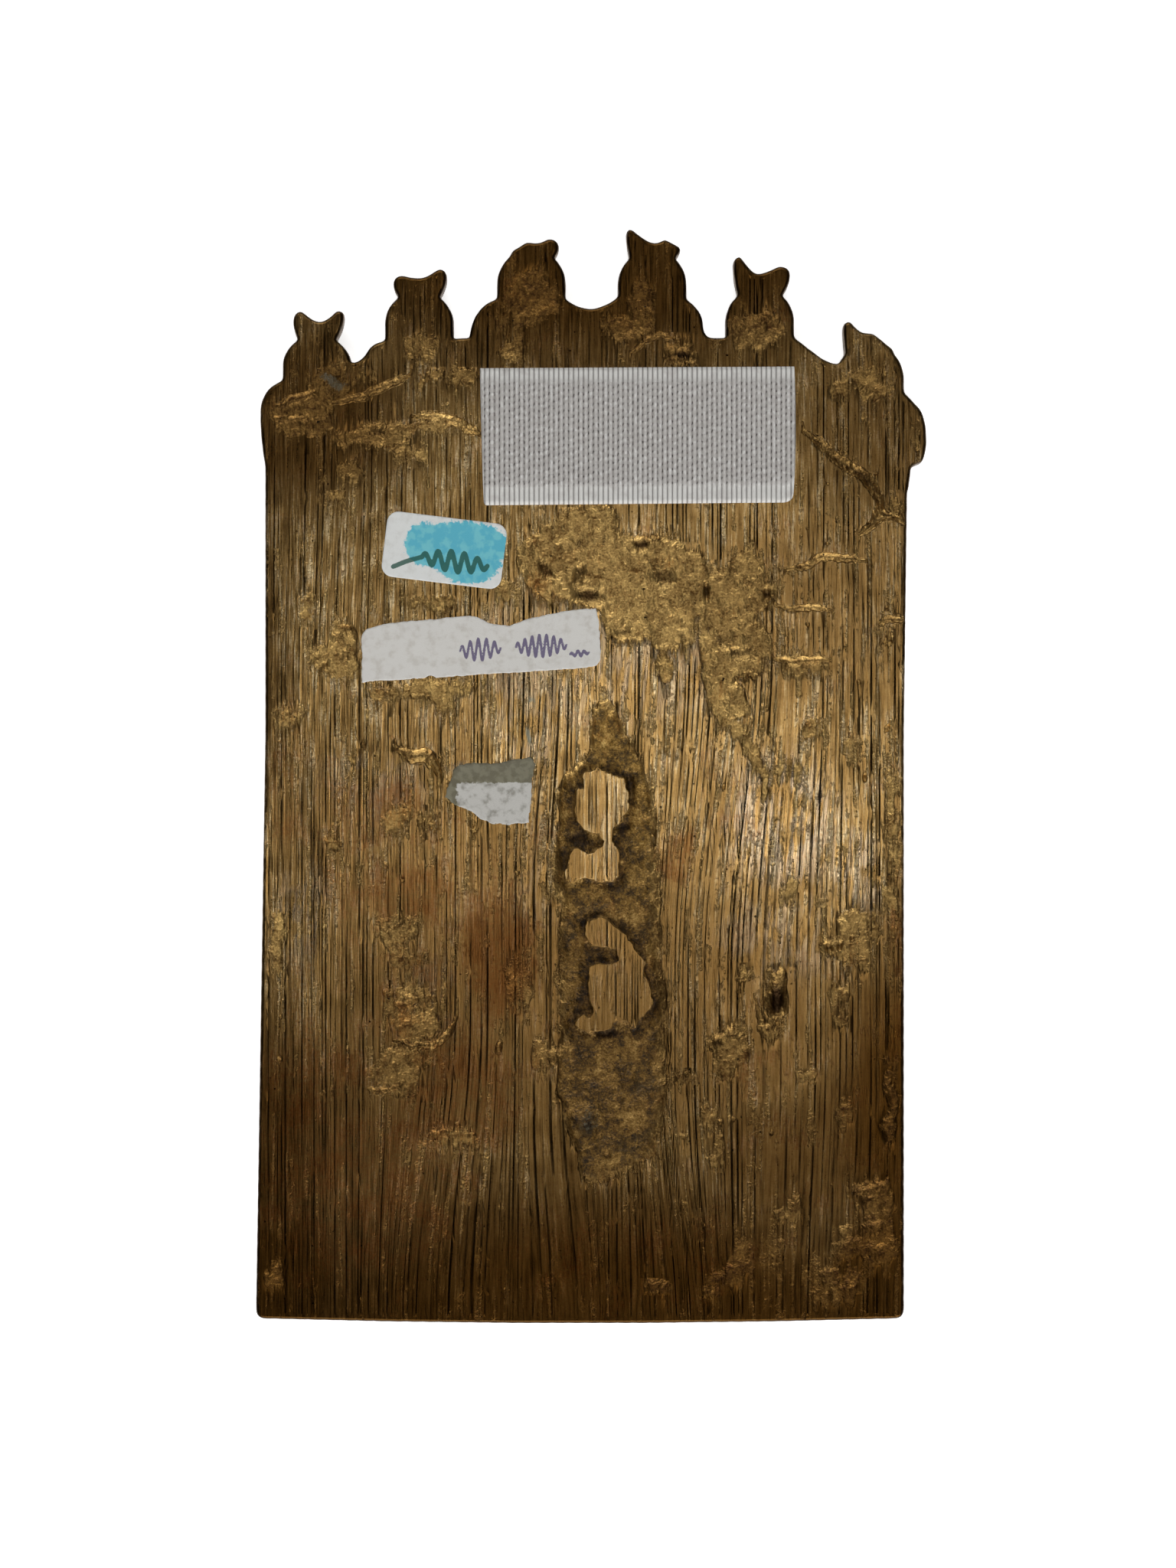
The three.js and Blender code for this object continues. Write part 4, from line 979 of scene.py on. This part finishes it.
def filed_brass(cast_grain):
    """The back: filed metal with dark grooves, casting skin where the file didn't reach, rust and residue"""
    material, tree, shader = new_material("filed_brass_back", 0.38, 1.0)
    place = millimetres(tree)
    parts = add(tree, "ShaderNodeSeparateXYZ", {0: place}).outputs
    stroke = attribute(tree, "stroke")
    right_slant = calc(tree, "MULTIPLY_ADD", parts[1], -0.105, parts[0])
    left_slant = calc(tree, "MULTIPLY_ADD", parts[1], 0.045, parts[0])
    coarse = streaks(tree, stroke, parts[1], 0.45, 30.0)
    middle = streaks(tree, stroke, parts[1], 1.2, 14.0, 3.0)
    fine = streaks(tree, stroke, parts[1], 2.8, 7.0, 5.0)
    hairs = streaks(tree, stroke, parts[1], 6.0, 3.0, 7.0)
    right_lines = streaks(tree, right_slant, parts[1], 1.1, 11.0, 11.0)
    left_lines = streaks(tree, left_slant, parts[1], 1.3, 9.0, 13.0)
    grain = noise(tree, place, 2.8, 3.0, 0.7)
    blotch = noise(tree, place, 0.16, 3.0, 0.6)
    grit = noise(tree, place, 1.7, 3.0, 0.7)
    skin_value, sink = attribute(tree, "skin"), attribute(tree, "sink")
    hollow, sheen_area = attribute(tree, "hollow"), attribute(tree, "sheen_area")

    tone = level(tree, (hairs, 0.2), (fine, 0.6), (middle, 0.4), (coarse, 0.15), (grain, 0.25), (blotch, 0.5))
    even = calc(tree, "MULTIPLY_ADD", attribute(tree, "tarnish_and_shade"), -0.5, 1.0)
    tone = calc(tree, "MULTIPLY_ADD", calc(tree, "SUBTRACT", tone, 0.5), even, 0.5)
    filed = ramp(tree, tone, [
        (0.25, srgb(92, 70, 38)), (0.42, srgb(136, 108, 64)), (0.55, srgb(168, 138, 88)), (0.7, srgb(240, 218, 172)),
    ])
    # A painted grey sheen, mixed in on the sheen spots between the slanted lines
    sheen = calc(tree, "MULTIPLY", sheen_area, rising(tree, level(tree, (right_lines, 1.0), (blotch, 1.0)), 0.4, 0.62))
    filed = mixed(tree, calc(tree, "MULTIPLY", sheen, 0.5), filed, srgb(164, 160, 152))
    cuts = calc(tree, "MAXIMUM", scratches(tree, right_lines, 0.022), scratches(tree, left_lines, 0.018))
    cuts = calc(tree, "MULTIPLY", cuts, rising(tree, level(tree, (blotch, 1.0), (grit, 0.5), (sheen_area, 0.25)), 0.38, 0.5))
    straight = scratches(tree, streaks(tree, stroke, parts[1], 0.9, 26.0, 17.0), 0.022)
    cuts = calc(tree, "MAXIMUM", cuts, calc(tree, "MULTIPLY", straight, rising(tree, middle, 0.4, 0.6)))
    # Dark colour in the file grooves and scratches: partly dirt, partly painted shade in the grooves
    dirt_and_shade = calc(tree, "ADD", attribute(tree, "groove"), calc(tree, "MULTIPLY_ADD", grit, 0.4, -0.25))
    grime = calc(tree, "MAXIMUM", rising(tree, dirt_and_shade, 0.1, 1.0), calc(tree, "MULTIPLY", cuts, 0.5))
    grime_and_shade_share = calc(tree, "MULTIPLY", grime, calc(tree, "MULTIPLY_ADD", even, 0.1, 0.56))
    filed = mixed(tree, grime_and_shade_share, filed, srgb(64, 48, 28))

    stain = calc(tree, "ADD", attribute(tree, "rust"), level(tree, (grit, 1.6), (fine, 1.2), (blotch, 2.4)))
    rust_mask = calc(tree, "MULTIPLY", rising(tree, stain, 0.6, 1.7), 0.85)
    crusted = ramp(tree, level(tree, (grain, 0.35), (fine, 0.5), (grit, 0.6)), [
        (0.3, srgb(98, 68, 38)), (0.5, srgb(150, 112, 68)), (0.75, srgb(204, 166, 116)),
    ])
    filed = mixed(tree, calc(tree, "MULTIPLY", rust_mask, 0.5), filed, crusted)

    skin = use(tree, cast_grain, {"Place": place, "Wear": sheen_area})
    # Darker where the skin lies deep below the filed plane: painted shade in the recesses
    skin_colour = mixed(tree, rising(tree, hollow, 0.2, 1.1), skin["Color"], srgb(66, 46, 20))
    crust = level(tree, (noise(tree, place, 0.22, 2.0, 0.5), 0.7), (noise(tree, place, 0.9, 3.0, 0.6), 0.8), (grain, 0.8))
    moss = ramp(tree, crust, [
        (0.25, srgb(44, 33, 15)), (0.42, srgb(104, 79, 35)), (0.58, srgb(164, 126, 58)), (0.78, srgb(222, 184, 108)),
    ])
    # The deepest parts of the sunken place are darkened: painted shade
    moss = mixed(tree, rising(tree, hollow, 0.75, 1.4), moss, mixed(tree, 1.0, moss, srgb(128, 122, 108), "MULTIPLY"))
    skin_colour = mixed(tree, calc(tree, "MULTIPLY", sink, 0.85), skin_colour, moss)
    torn = level(tree, (grit, 0.25), (middle, 0.55), (noise(tree, place, 0.6, 2.0, 0.6), 0.3))
    is_skin = rising(tree, calc(tree, "ADD", skin_value, torn), 0.42, 0.6)
    colour = mixed(tree, is_skin, filed, skin_colour)
    rusty = mixed(tree, 1.0, colour, srgb(228, 194, 166), "MULTIPLY")
    colour = mixed(tree, rust_mask, colour, rusty)
    residue = calc(tree, "ADD", attribute(tree, "residue"), calc(tree, "MULTIPLY_ADD", grit, 0.8, -0.45))
    residue = rising(tree, residue, 0.2, 0.6)
    colour = mixed(tree, calc(tree, "MULTIPLY", residue, 0.8), colour, srgb(128, 130, 112))
    # Dark specks that stand in for pinholes: painted shade
    specks = noise(tree, place, 1.15, 1.0, 0.3)
    colour = mixed(tree, rising(tree, specks, 0.76, 0.82), colour, srgb(52, 38, 20))
    # Partly tarnish, partly painted shade: the metal darkens towards the ends and corners
    tarnish_and_shade = mixed(tree, 1.0, colour, srgb(138, 119, 90), "MULTIPLY")
    colour = mixed(tree, attribute(tree, "tarnish_and_shade"), colour, tarnish_and_shade)
    # The rounded rim is painted dark, where it would otherwise catch the low lights: painted shade
    painted_edge_shade = calc(tree, "MULTIPLY", rising(tree, attribute(tree, "edge"), 0.0, 0.7), 0.85)
    colour = mixed(tree, painted_edge_shade, colour, srgb(44, 31, 17))
    tree.links.new(colour, shader.inputs["Base Color"])

    dull = calc(tree, "MULTIPLY", calc(tree, "MULTIPLY_ADD", sink, 0.22, 0.12), is_skin)
    metal = calc(tree, "SUBTRACT", 1.0, calc(tree, "MAXIMUM", dull, calc(tree, "MULTIPLY", residue, 0.8)))
    tree.links.new(metal, shader.inputs["Metallic"])

    gloss = level(tree, (fine, 0.2), (grain, 0.1))
    gloss = calc(tree, "MULTIPLY_ADD", rust_mask, 0.08, calc(tree, "SUBTRACT", gloss, 0.18))
    gloss = calc(tree, "MULTIPLY_ADD", sheen_area, -0.05, gloss)
    gloss = add(tree, "ShaderNodeMix", {0: is_skin, 2: gloss, 3: skin["Roughness"]}).outputs[0]
    gloss = calc(tree, "MULTIPLY_ADD", calc(tree, "MULTIPLY", sink, is_skin), 0.06, gloss, clamp=True)
    tree.links.new(gloss, shader.inputs["Roughness"])

    lines = level(tree, (middle, 0.034), (fine, 0.026), (hairs, 0.003), (grain, 0.004))
    filed_height = calc(tree, "SUBTRACT", calc(tree, "MULTIPLY", lines, even), calc(tree, "MULTIPLY", cuts, 0.012))
    skin_relief = calc(tree, "MULTIPLY", skin["Height"], 0.34)
    skin_relief = calc(tree, "ADD", skin_relief, calc(tree, "MULTIPLY", calc(tree, "MULTIPLY", sink, grain), 0.12))
    relief = add(tree, "ShaderNodeMix", {0: is_skin, 2: filed_height, 3: skin_relief}).outputs[0]
    tree.links.new(bump(tree, relief, 1.0), shader.inputs["Normal"])
    return material


def worn_brass(cast_grain):
    """The carved face and the side walls: old cast metal, darker in its lows"""
    material, tree, shader = new_material("worn_cast_brass", 0.42, 1.0)
    place = millimetres(tree)
    grain = use(tree, cast_grain, {"Place": place, "Bright": srgb(108, 83, 47), "Dark": srgb(52, 38, 21), "Wear": 0.5})
    lows = rising(tree, attribute(tree, "hollow"), 0.8, 2.9)
    colour = mixed(tree, calc(tree, "MULTIPLY", lows, 0.75), grain["Color"], srgb(52, 38, 20))
    tree.links.new(colour, shader.inputs["Base Color"])
    tree.links.new(grain["Roughness"], shader.inputs["Roughness"])
    tree.links.new(bump(tree, grain["Height"], 0.12), shader.inputs["Normal"])
    return material


def paper_material(fibres, name, paper, grime, amount, pen=None, wash=None):
    """Paper, with a washed patch of colour and pen strokes where the mesh marks them"""
    material, tree, shader = new_material(name, 0.75)
    place = millimetres(tree)
    made = use(tree, fibres, {"Place": place, "Paper": paper, "Grime": grime, "Amount": amount})
    colour = made["Color"]
    if wash is not None:
        blots = noise(tree, place, 1.4, 3.0, 0.6)
        edge = calc(tree, "ADD", attribute(tree, "wash"), calc(tree, "MULTIPLY_ADD", blots, 1.2, -0.6))
        tone = mixed(tree, rising(tree, noise(tree, place, 0.7, 2.0, 0.5), 0.4, 0.6), *wash)
        colour = mixed(tree, calc(tree, "MULTIPLY", rising(tree, edge, -0.12, 0.12), 0.93), colour, tone)
    if pen is not None:
        rough = calc(tree, "MULTIPLY_ADD", noise(tree, place, 6.0, 2.0, 0.6), 0.16, -0.08)
        inked = rising(tree, calc(tree, "ADD", attribute(tree, "pen"), rough), -0.05, 0.05)
        colour = mixed(tree, calc(tree, "MULTIPLY", inked, 0.9), colour, pen)
    tree.links.new(colour, shader.inputs["Base Color"])
    tree.links.new(bump(tree, made["Height"], 0.05), shader.inputs["Normal"])
    return material


def paper_piece(name, node, material, step, lift=None, marks=None, ragged=0.0, seed=0):
    """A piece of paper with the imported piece's own outline: a slightly uneven sheet, closed below"""
    low, high = (np.array(corner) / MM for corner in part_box(node))
    outline = evenly(section(node, (low[2] + high[2]) / 2), step * 0.7, closed=True)
    if ragged:
        outline = outline - outward(outline) * (ragged * spots(outline[:, 0], outline[:, 1], 0.8, seed, 3))[:, None]
    inside = scattered(low, high, step, SEED + 61 + seed)
    inside = inside[within(inside[:, 0], inside[:, 1], outline)]
    inside = inside[distances(inside, outline) > step * 0.45]
    flat, faces, border = triangulate(outline, inside)
    x, y = flat.T
    thick = high[2] - low[2]
    top = low[2] + thick * (0.75 + 0.5 * (spots(x, y, 3.0, SEED + 62 + seed, 2) - 0.5))
    if lift is not None:
        top = top + lift(x, y)
    count = len(flat)
    rim = len(border)
    places = np.vstack([
        np.column_stack([flat, top]),
        np.column_stack([flat[border], np.full(rim, low[2] - 0.02)]),
        [[*flat[border].mean(0), low[2] - 0.02]],
    ])
    under = count + np.arange(rim)
    walls = list(zip(np.array(border), under, np.roll(under, -1), np.roll(np.array(border), -1)))
    base_flat, base_faces, base_border = triangulate(outline, np.empty((0, 2)))
    number = {new: count + at for at, new in enumerate(base_border)}
    base = [[number[corner] for corner in face[::-1]] for face in base_faces if all(c in number for c in face)]
    places = places[:-1]
    values = {}
    for key, value in (marks or {}).items():
        on_top = value(x, y)
        values[key] = np.concatenate([on_top, np.full(rim, -1.0)])
    return mesh_object(name, places, list(faces) + walls + base, material, values)


def pen_marks(strokes, width):
    """How far inside a pen stroke each point is"""
    def inside(x, y):
        gap = np.full(x.shape, 9.0)
        for path in strokes:
            gap = np.minimum(gap, distance_to(x, y, path)[0])
        return np.clip(width / 2 - gap, -1.0, 1.0)
    return inside


def wavy(x, y, length, rise, turns, slope=0.0):
    """A pen stroke that waves as it runs, most in its middle"""
    t = np.linspace(0.0, 1.0, 6 + int(12 * turns))
    swing = rise * np.sin(np.pi * (0.1 + 0.8 * t)) * np.sin(2 * np.pi * turns * t)
    return np.stack([x + length * t, y + slope * t + swing], 1)


def hook_tape():
    """A strip of hook tape: upright ribs, plain at the two selvedges and looped between them"""
    low, high = (np.array(corner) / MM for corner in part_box("hook_tape"))
    outline = section("hook_tape", BACK_SECTION_HEIGHT)
    ribs, across = 64, 6
    columns = np.linspace(outline[:, 0].min() + 0.02, outline[:, 0].max() - 0.02, ribs * across + 1)
    rows = 60
    closed = np.vstack([outline, outline[:1]])
    bottom, top = np.full(len(columns), 1e9), np.full(len(columns), -1e9)
    for (x0, y0), (x1, y1) in zip(closed[:-1], closed[1:]):
        if x0 == x1:
            continue
        on = (columns >= min(x0, x1)) & (columns <= max(x0, x1))
        y = y0 + (columns - x0) * (y1 - y0) / (x1 - x0)
        bottom = np.where(on, np.minimum(bottom, y), bottom)
        top = np.where(on, np.maximum(top, y), top)
    share = np.linspace(0.0, 1.0, rows + 1)
    x = np.repeat(columns[:, None], rows + 1, 1)
    y = bottom[:, None] * (1 - share) + top[:, None] * share
    rib = np.arange(len(columns)) / across
    phase = rib[:, None] - np.floor(rib)[:, None]
    number = np.floor(rib).astype(int)[:, None]
    ridge = np.sin(np.pi * phase) ** 0.8
    field = smooth((y - low[2] * 0 - bottom[:, None] - 2.6) / 1.0) * smooth((top[:, None] - 2.0 - y) / 0.9)
    stagger = np.where(number % 2 == 0, 0.0, 0.5) + 0.17 * (number % 3)
    loops = 0.5 + 0.5 * np.sin(2 * np.pi * (y / 1.25 + stagger))
    height = 0.75 + 0.42 * ridge + field * (0.15 + 0.32 * ridge * loops - 0.25 * (1 - ridge) * loops)
    height += 0.10 * (spots(x.ravel(), y.ravel(), 1.1, SEED + 71, 2).reshape(x.shape) - 0.5)
    edge = np.minimum(np.minimum(y - bottom[:, None], top[:, None] - y), np.minimum(x - columns[0], columns[-1] - x))
    height *= 0.35 + 0.65 * smooth(edge / 0.35)
    places = np.stack([x, y, BACK + height], -1)
    columns_count, rows_count = x.shape
    index = np.arange(x.size).reshape(x.shape)
    faces = list(zip(index[:-1, :-1].ravel(), index[1:, :-1].ravel(), index[1:, 1:].ravel(), index[:-1, 1:].ravel()))
    border = np.concatenate([index[:, 0], index[-1, 1:], index[-2::-1, -1], index[0, -2:0:-1]])
    base = x.size + np.arange(len(border))
    skirt = places.reshape(-1, 3)[border].copy()
    skirt[:, 2] = BACK - 0.02
    faces += list(zip(border, base, np.roll(base, -1), np.roll(border, -1)))
    faces.append(tuple(base[::-1]))
    values = {
        "rib": np.concatenate([np.broadcast_to(ridge, x.shape).ravel(), np.zeros(len(border))]),
        "field": np.concatenate([field.ravel(), np.zeros(len(border))]),
        "loop": np.concatenate([loops.ravel(), np.zeros(len(border))]),
    }
    return np.vstack([places.reshape(-1, 3), skirt]), faces, values


def tape_material(fibres):
    material, tree, shader = new_material("hook_tape_nylon", 0.6)
    place = millimetres(tree)
    made = use(tree, fibres, {"Place": place, "Paper": srgb(238, 237, 233), "Grime": srgb(190, 182, 178), "Amount": 0.4})
    rib, field = attribute(tree, "rib"), attribute(tree, "field")
    gap = rising(tree, calc(tree, "SUBTRACT", 1.0, rib), 0.3, 0.95)
    colour = mixed(tree, calc(tree, "MULTIPLY", field, 0.6), made["Color"], srgb(198, 193, 189))
    # The gaps between the ribs are painted dark: painted shade
    shaded_gap_share = calc(tree, "MULTIPLY", gap, calc(tree, "MULTIPLY_ADD", field, -0.3, 0.85))
    colour = mixed(tree, shaded_gap_share, colour, srgb(96, 92, 92))
    parts = add(tree, "ShaderNodeSeparateXYZ", {0: place}).outputs
    # Light segments on the rib tops, in the looped field: painted highlight
    stitches = rising(tree, streaks(tree, parts[0], parts[1], 1.3, 1.1), 0.5, 0.66)
    painted_rib_highlight = calc(tree, "MULTIPLY", calc(tree, "MULTIPLY", stitches, rib), field)
    colour = mixed(tree, calc(tree, "MULTIPLY", painted_rib_highlight, 0.75), colour, srgb(244, 243, 240))
    # Dark holes among the loops: painted shade
    uneven = calc(tree, "MULTIPLY_ADD", noise(tree, place, 1.6, 2.0), 0.7, 0.15)
    shaded_hole = calc(tree, "MULTIPLY", calc(tree, "MULTIPLY", field, attribute(tree, "loop")), uneven)
    shaded_hole = calc(tree, "MULTIPLY", shaded_hole, calc(tree, "MULTIPLY_ADD", gap, 0.6, 0.4))
    colour = mixed(tree, rising(tree, shaded_hole, 0.14, 0.44), colour, srgb(74, 67, 67))
    tree.links.new(colour, shader.inputs["Base Color"])
    tree.links.new(bump(tree, made["Height"], 0.06), shader.inputs["Normal"])
    return material


def floor():
    material, tree, shader = new_material("pale_floor", 0.9)
    place = millimetres(tree)
    shade = ramp(tree, noise(tree, place, 0.01, 2.0), [(0.0, srgb(243, 243, 243)), (1.0, srgb(250, 250, 250))])
    tree.links.new(shade, shader.inputs["Base Color"])
    shader.inputs["Emission Color"].default_value = (1, 1, 1, 1)
    shader.inputs["Emission Strength"].default_value = 0.75
    mesh = bpy.data.meshes.new("floor")
    reach = 15.0
    mesh.from_pydata([(-reach, -reach, 0), (reach, -reach, 0), (reach, reach, 0), (-reach, reach, 0)], [], [(0, 1, 2, 3)])
    mesh.materials.append(material)
    ground = bpy.data.objects.new("floor", mesh)
    bpy.context.scene.collection.objects.link(ground)


def area_light(name, place, aim, size, watts, colour=(1, 1, 1)):
    """A soft light. Its place and aim are in metres."""
    data = bpy.data.lights.new(name, "AREA")
    data.shape, data.size, data.energy, data.color = "DISK", size, watts, colour
    light = bpy.data.objects.new(name, data)
    light.location = place
    light.rotation_mode = "QUATERNION"
    light.rotation_quaternion = (Vector(aim) - Vector(place)).to_track_quat("-Z", "Y")
    bpy.context.scene.collection.objects.link(light)


def studio():
    """A lamp close to the camera, low fill lights along the marks, and a dim even sky"""
    area_light("lamp_over_camera", (0.05, -0.01, 1.0), (0.0, 0.0, 0.0), 0.16, LAMP_WATTS, (1.0, 0.95, 0.88))
    area_light("fill_low", (0.3, -2.2, 1.2), (0.0, 0.0, 0.0), 2.6, 60)
    area_light("fill_high", (-0.3, 1.9, 1.5), (0.0, 0.0, 0.0), 1.8, 24)
    world = bpy.data.worlds.new("studio")
    world.use_nodes = True
    tree = world.node_tree
    up = add(tree, "ShaderNodeSeparateXYZ", {0: add(tree, "ShaderNodeTexCoord").outputs["Generated"]}).outputs[2]
    sky = add(tree, "ShaderNodeMapRange", {0: up, 1: 0.62, 2: 0.38, 3: SKY_OVERHEAD, 4: SKY_LOW}).outputs[0]
    horizon = add(tree, "ShaderNodeMapRange", {0: up, 1: 0.14, 2: 0.04, 3: 0.0, 4: SKY_HORIZON}).outputs[0]
    strength = calc(tree, "ADD", sky, horizon)
    tree.links.new(strength, tree.nodes["Background"].inputs["Strength"])
    bpy.context.scene.world = world
    bpy.context.scene.view_settings.view_transform = "Standard"


def camera():
    data = bpy.data.cameras.new("camera")
    data.sensor_width = 36.0
    data.lens = data.sensor_width * CAMERA_HEIGHT / VIEW_TALL
    made = bpy.data.objects.new("camera", data)
    made.location = (VIEW_MIDDLE[0] * MM, VIEW_MIDDLE[1] * MM, (CAMERA_HEIGHT + BACK) * MM)
    data.clip_start, data.clip_end = 0.01, 20.0
    bpy.context.scene.collection.objects.link(made)
    bpy.context.scene.camera = made


def dress(piece, node):
    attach(piece, "root")
    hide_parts(node)


camera()
studio()
floor()
cast_grain = make_cast_grain()
fibres = make_paper_fibres()

dress(plaque([filed_brass(cast_grain), worn_brass(cast_grain)]), "icon_plaque")


tape_places, tape_faces, tape_values = hook_tape()
tape = mesh_object("hook_tape_strip", tape_places, tape_faces, tape_material(fibres), tape_values)
dress(tape, "hook_tape")

STICKER_STROKES = [wavy(-36.2, 38.3, 5.0, 0.15, 0.5, 1.7), wavy(-31.0, 40.0, 12.0, 1.9, 5.0, -1.6)]
sticker_paper = paper_material(
    fibres, "sticker_paper", srgb(240, 242, 240), srgb(190, 186, 176), 0.25,
    pen=srgb(28, 92, 76), wash=(srgb(108, 208, 222), srgb(72, 190, 216)),
)


def sticker_wash(x, y):
    blobs = [(-24.2, 42.0, 9.5, 4.6, 0.9), (-30.5, 42.4, 3.6, 4.0, 0.9), (-22.4, 38.8, 5.8, 3.6, 0.9)]
    inside = np.full(x.shape, -2.0)
    for blob in blobs:
        inside = np.maximum(inside, 2.4 * (1.0 - oval(x, y, blob)))
    return np.clip(inside, -2.0, 2.0)


dress(
    paper_piece(
        "round_cornered_sticker", "small_sticker", sticker_paper, 0.3,
        marks={"pen": pen_marks(STICKER_STROKES, 0.85), "wash": sticker_wash}, seed=1,
    ),
    "small_sticker",
)

LABEL_STROKES = [
    wavy(-24.0, 22.9, 7.4, 2.1, 5.0, 0.5), wavy(-13.8, 23.6, 9.2, 2.1, 7.0, 0.4), wavy(-3.9, 22.3, 3.4, 0.6, 3.0, 0.3),
]
label_paper = paper_material(
    fibres, "torn_label_paper", srgb(230, 228, 223), srgb(176, 166, 150), 0.35, pen=srgb(96, 84, 124),
)
dress(
    paper_piece(
        "torn_paper_label", "torn_label", label_paper, 0.3,
        marks={"pen": pen_marks(LABEL_STROKES, 0.42)}, ragged=0.35, seed=2,
    ),
    "torn_label",
)

remnant_paper = paper_material(
    fibres, "label_remnant_paper", srgb(208, 206, 200), srgb(116, 110, 96), 0.75,
    wash=(srgb(126, 122, 98), srgb(104, 98, 74)),
)


def remnant_glue(x, y):
    """Where only the glue is left: a strip along the top, and the left and lower ends"""
    return np.clip(np.maximum(y + 1.2, np.maximum(-24.6 - x, -9.0 - y) * 0.6), -2.0, 2.0)


dress(
    paper_piece(
        "label_remains", "label_remnant", remnant_paper, 0.4, marks={"wash": remnant_glue}, ragged=0.6, seed=3,
    ),
    "label_remnant",
)
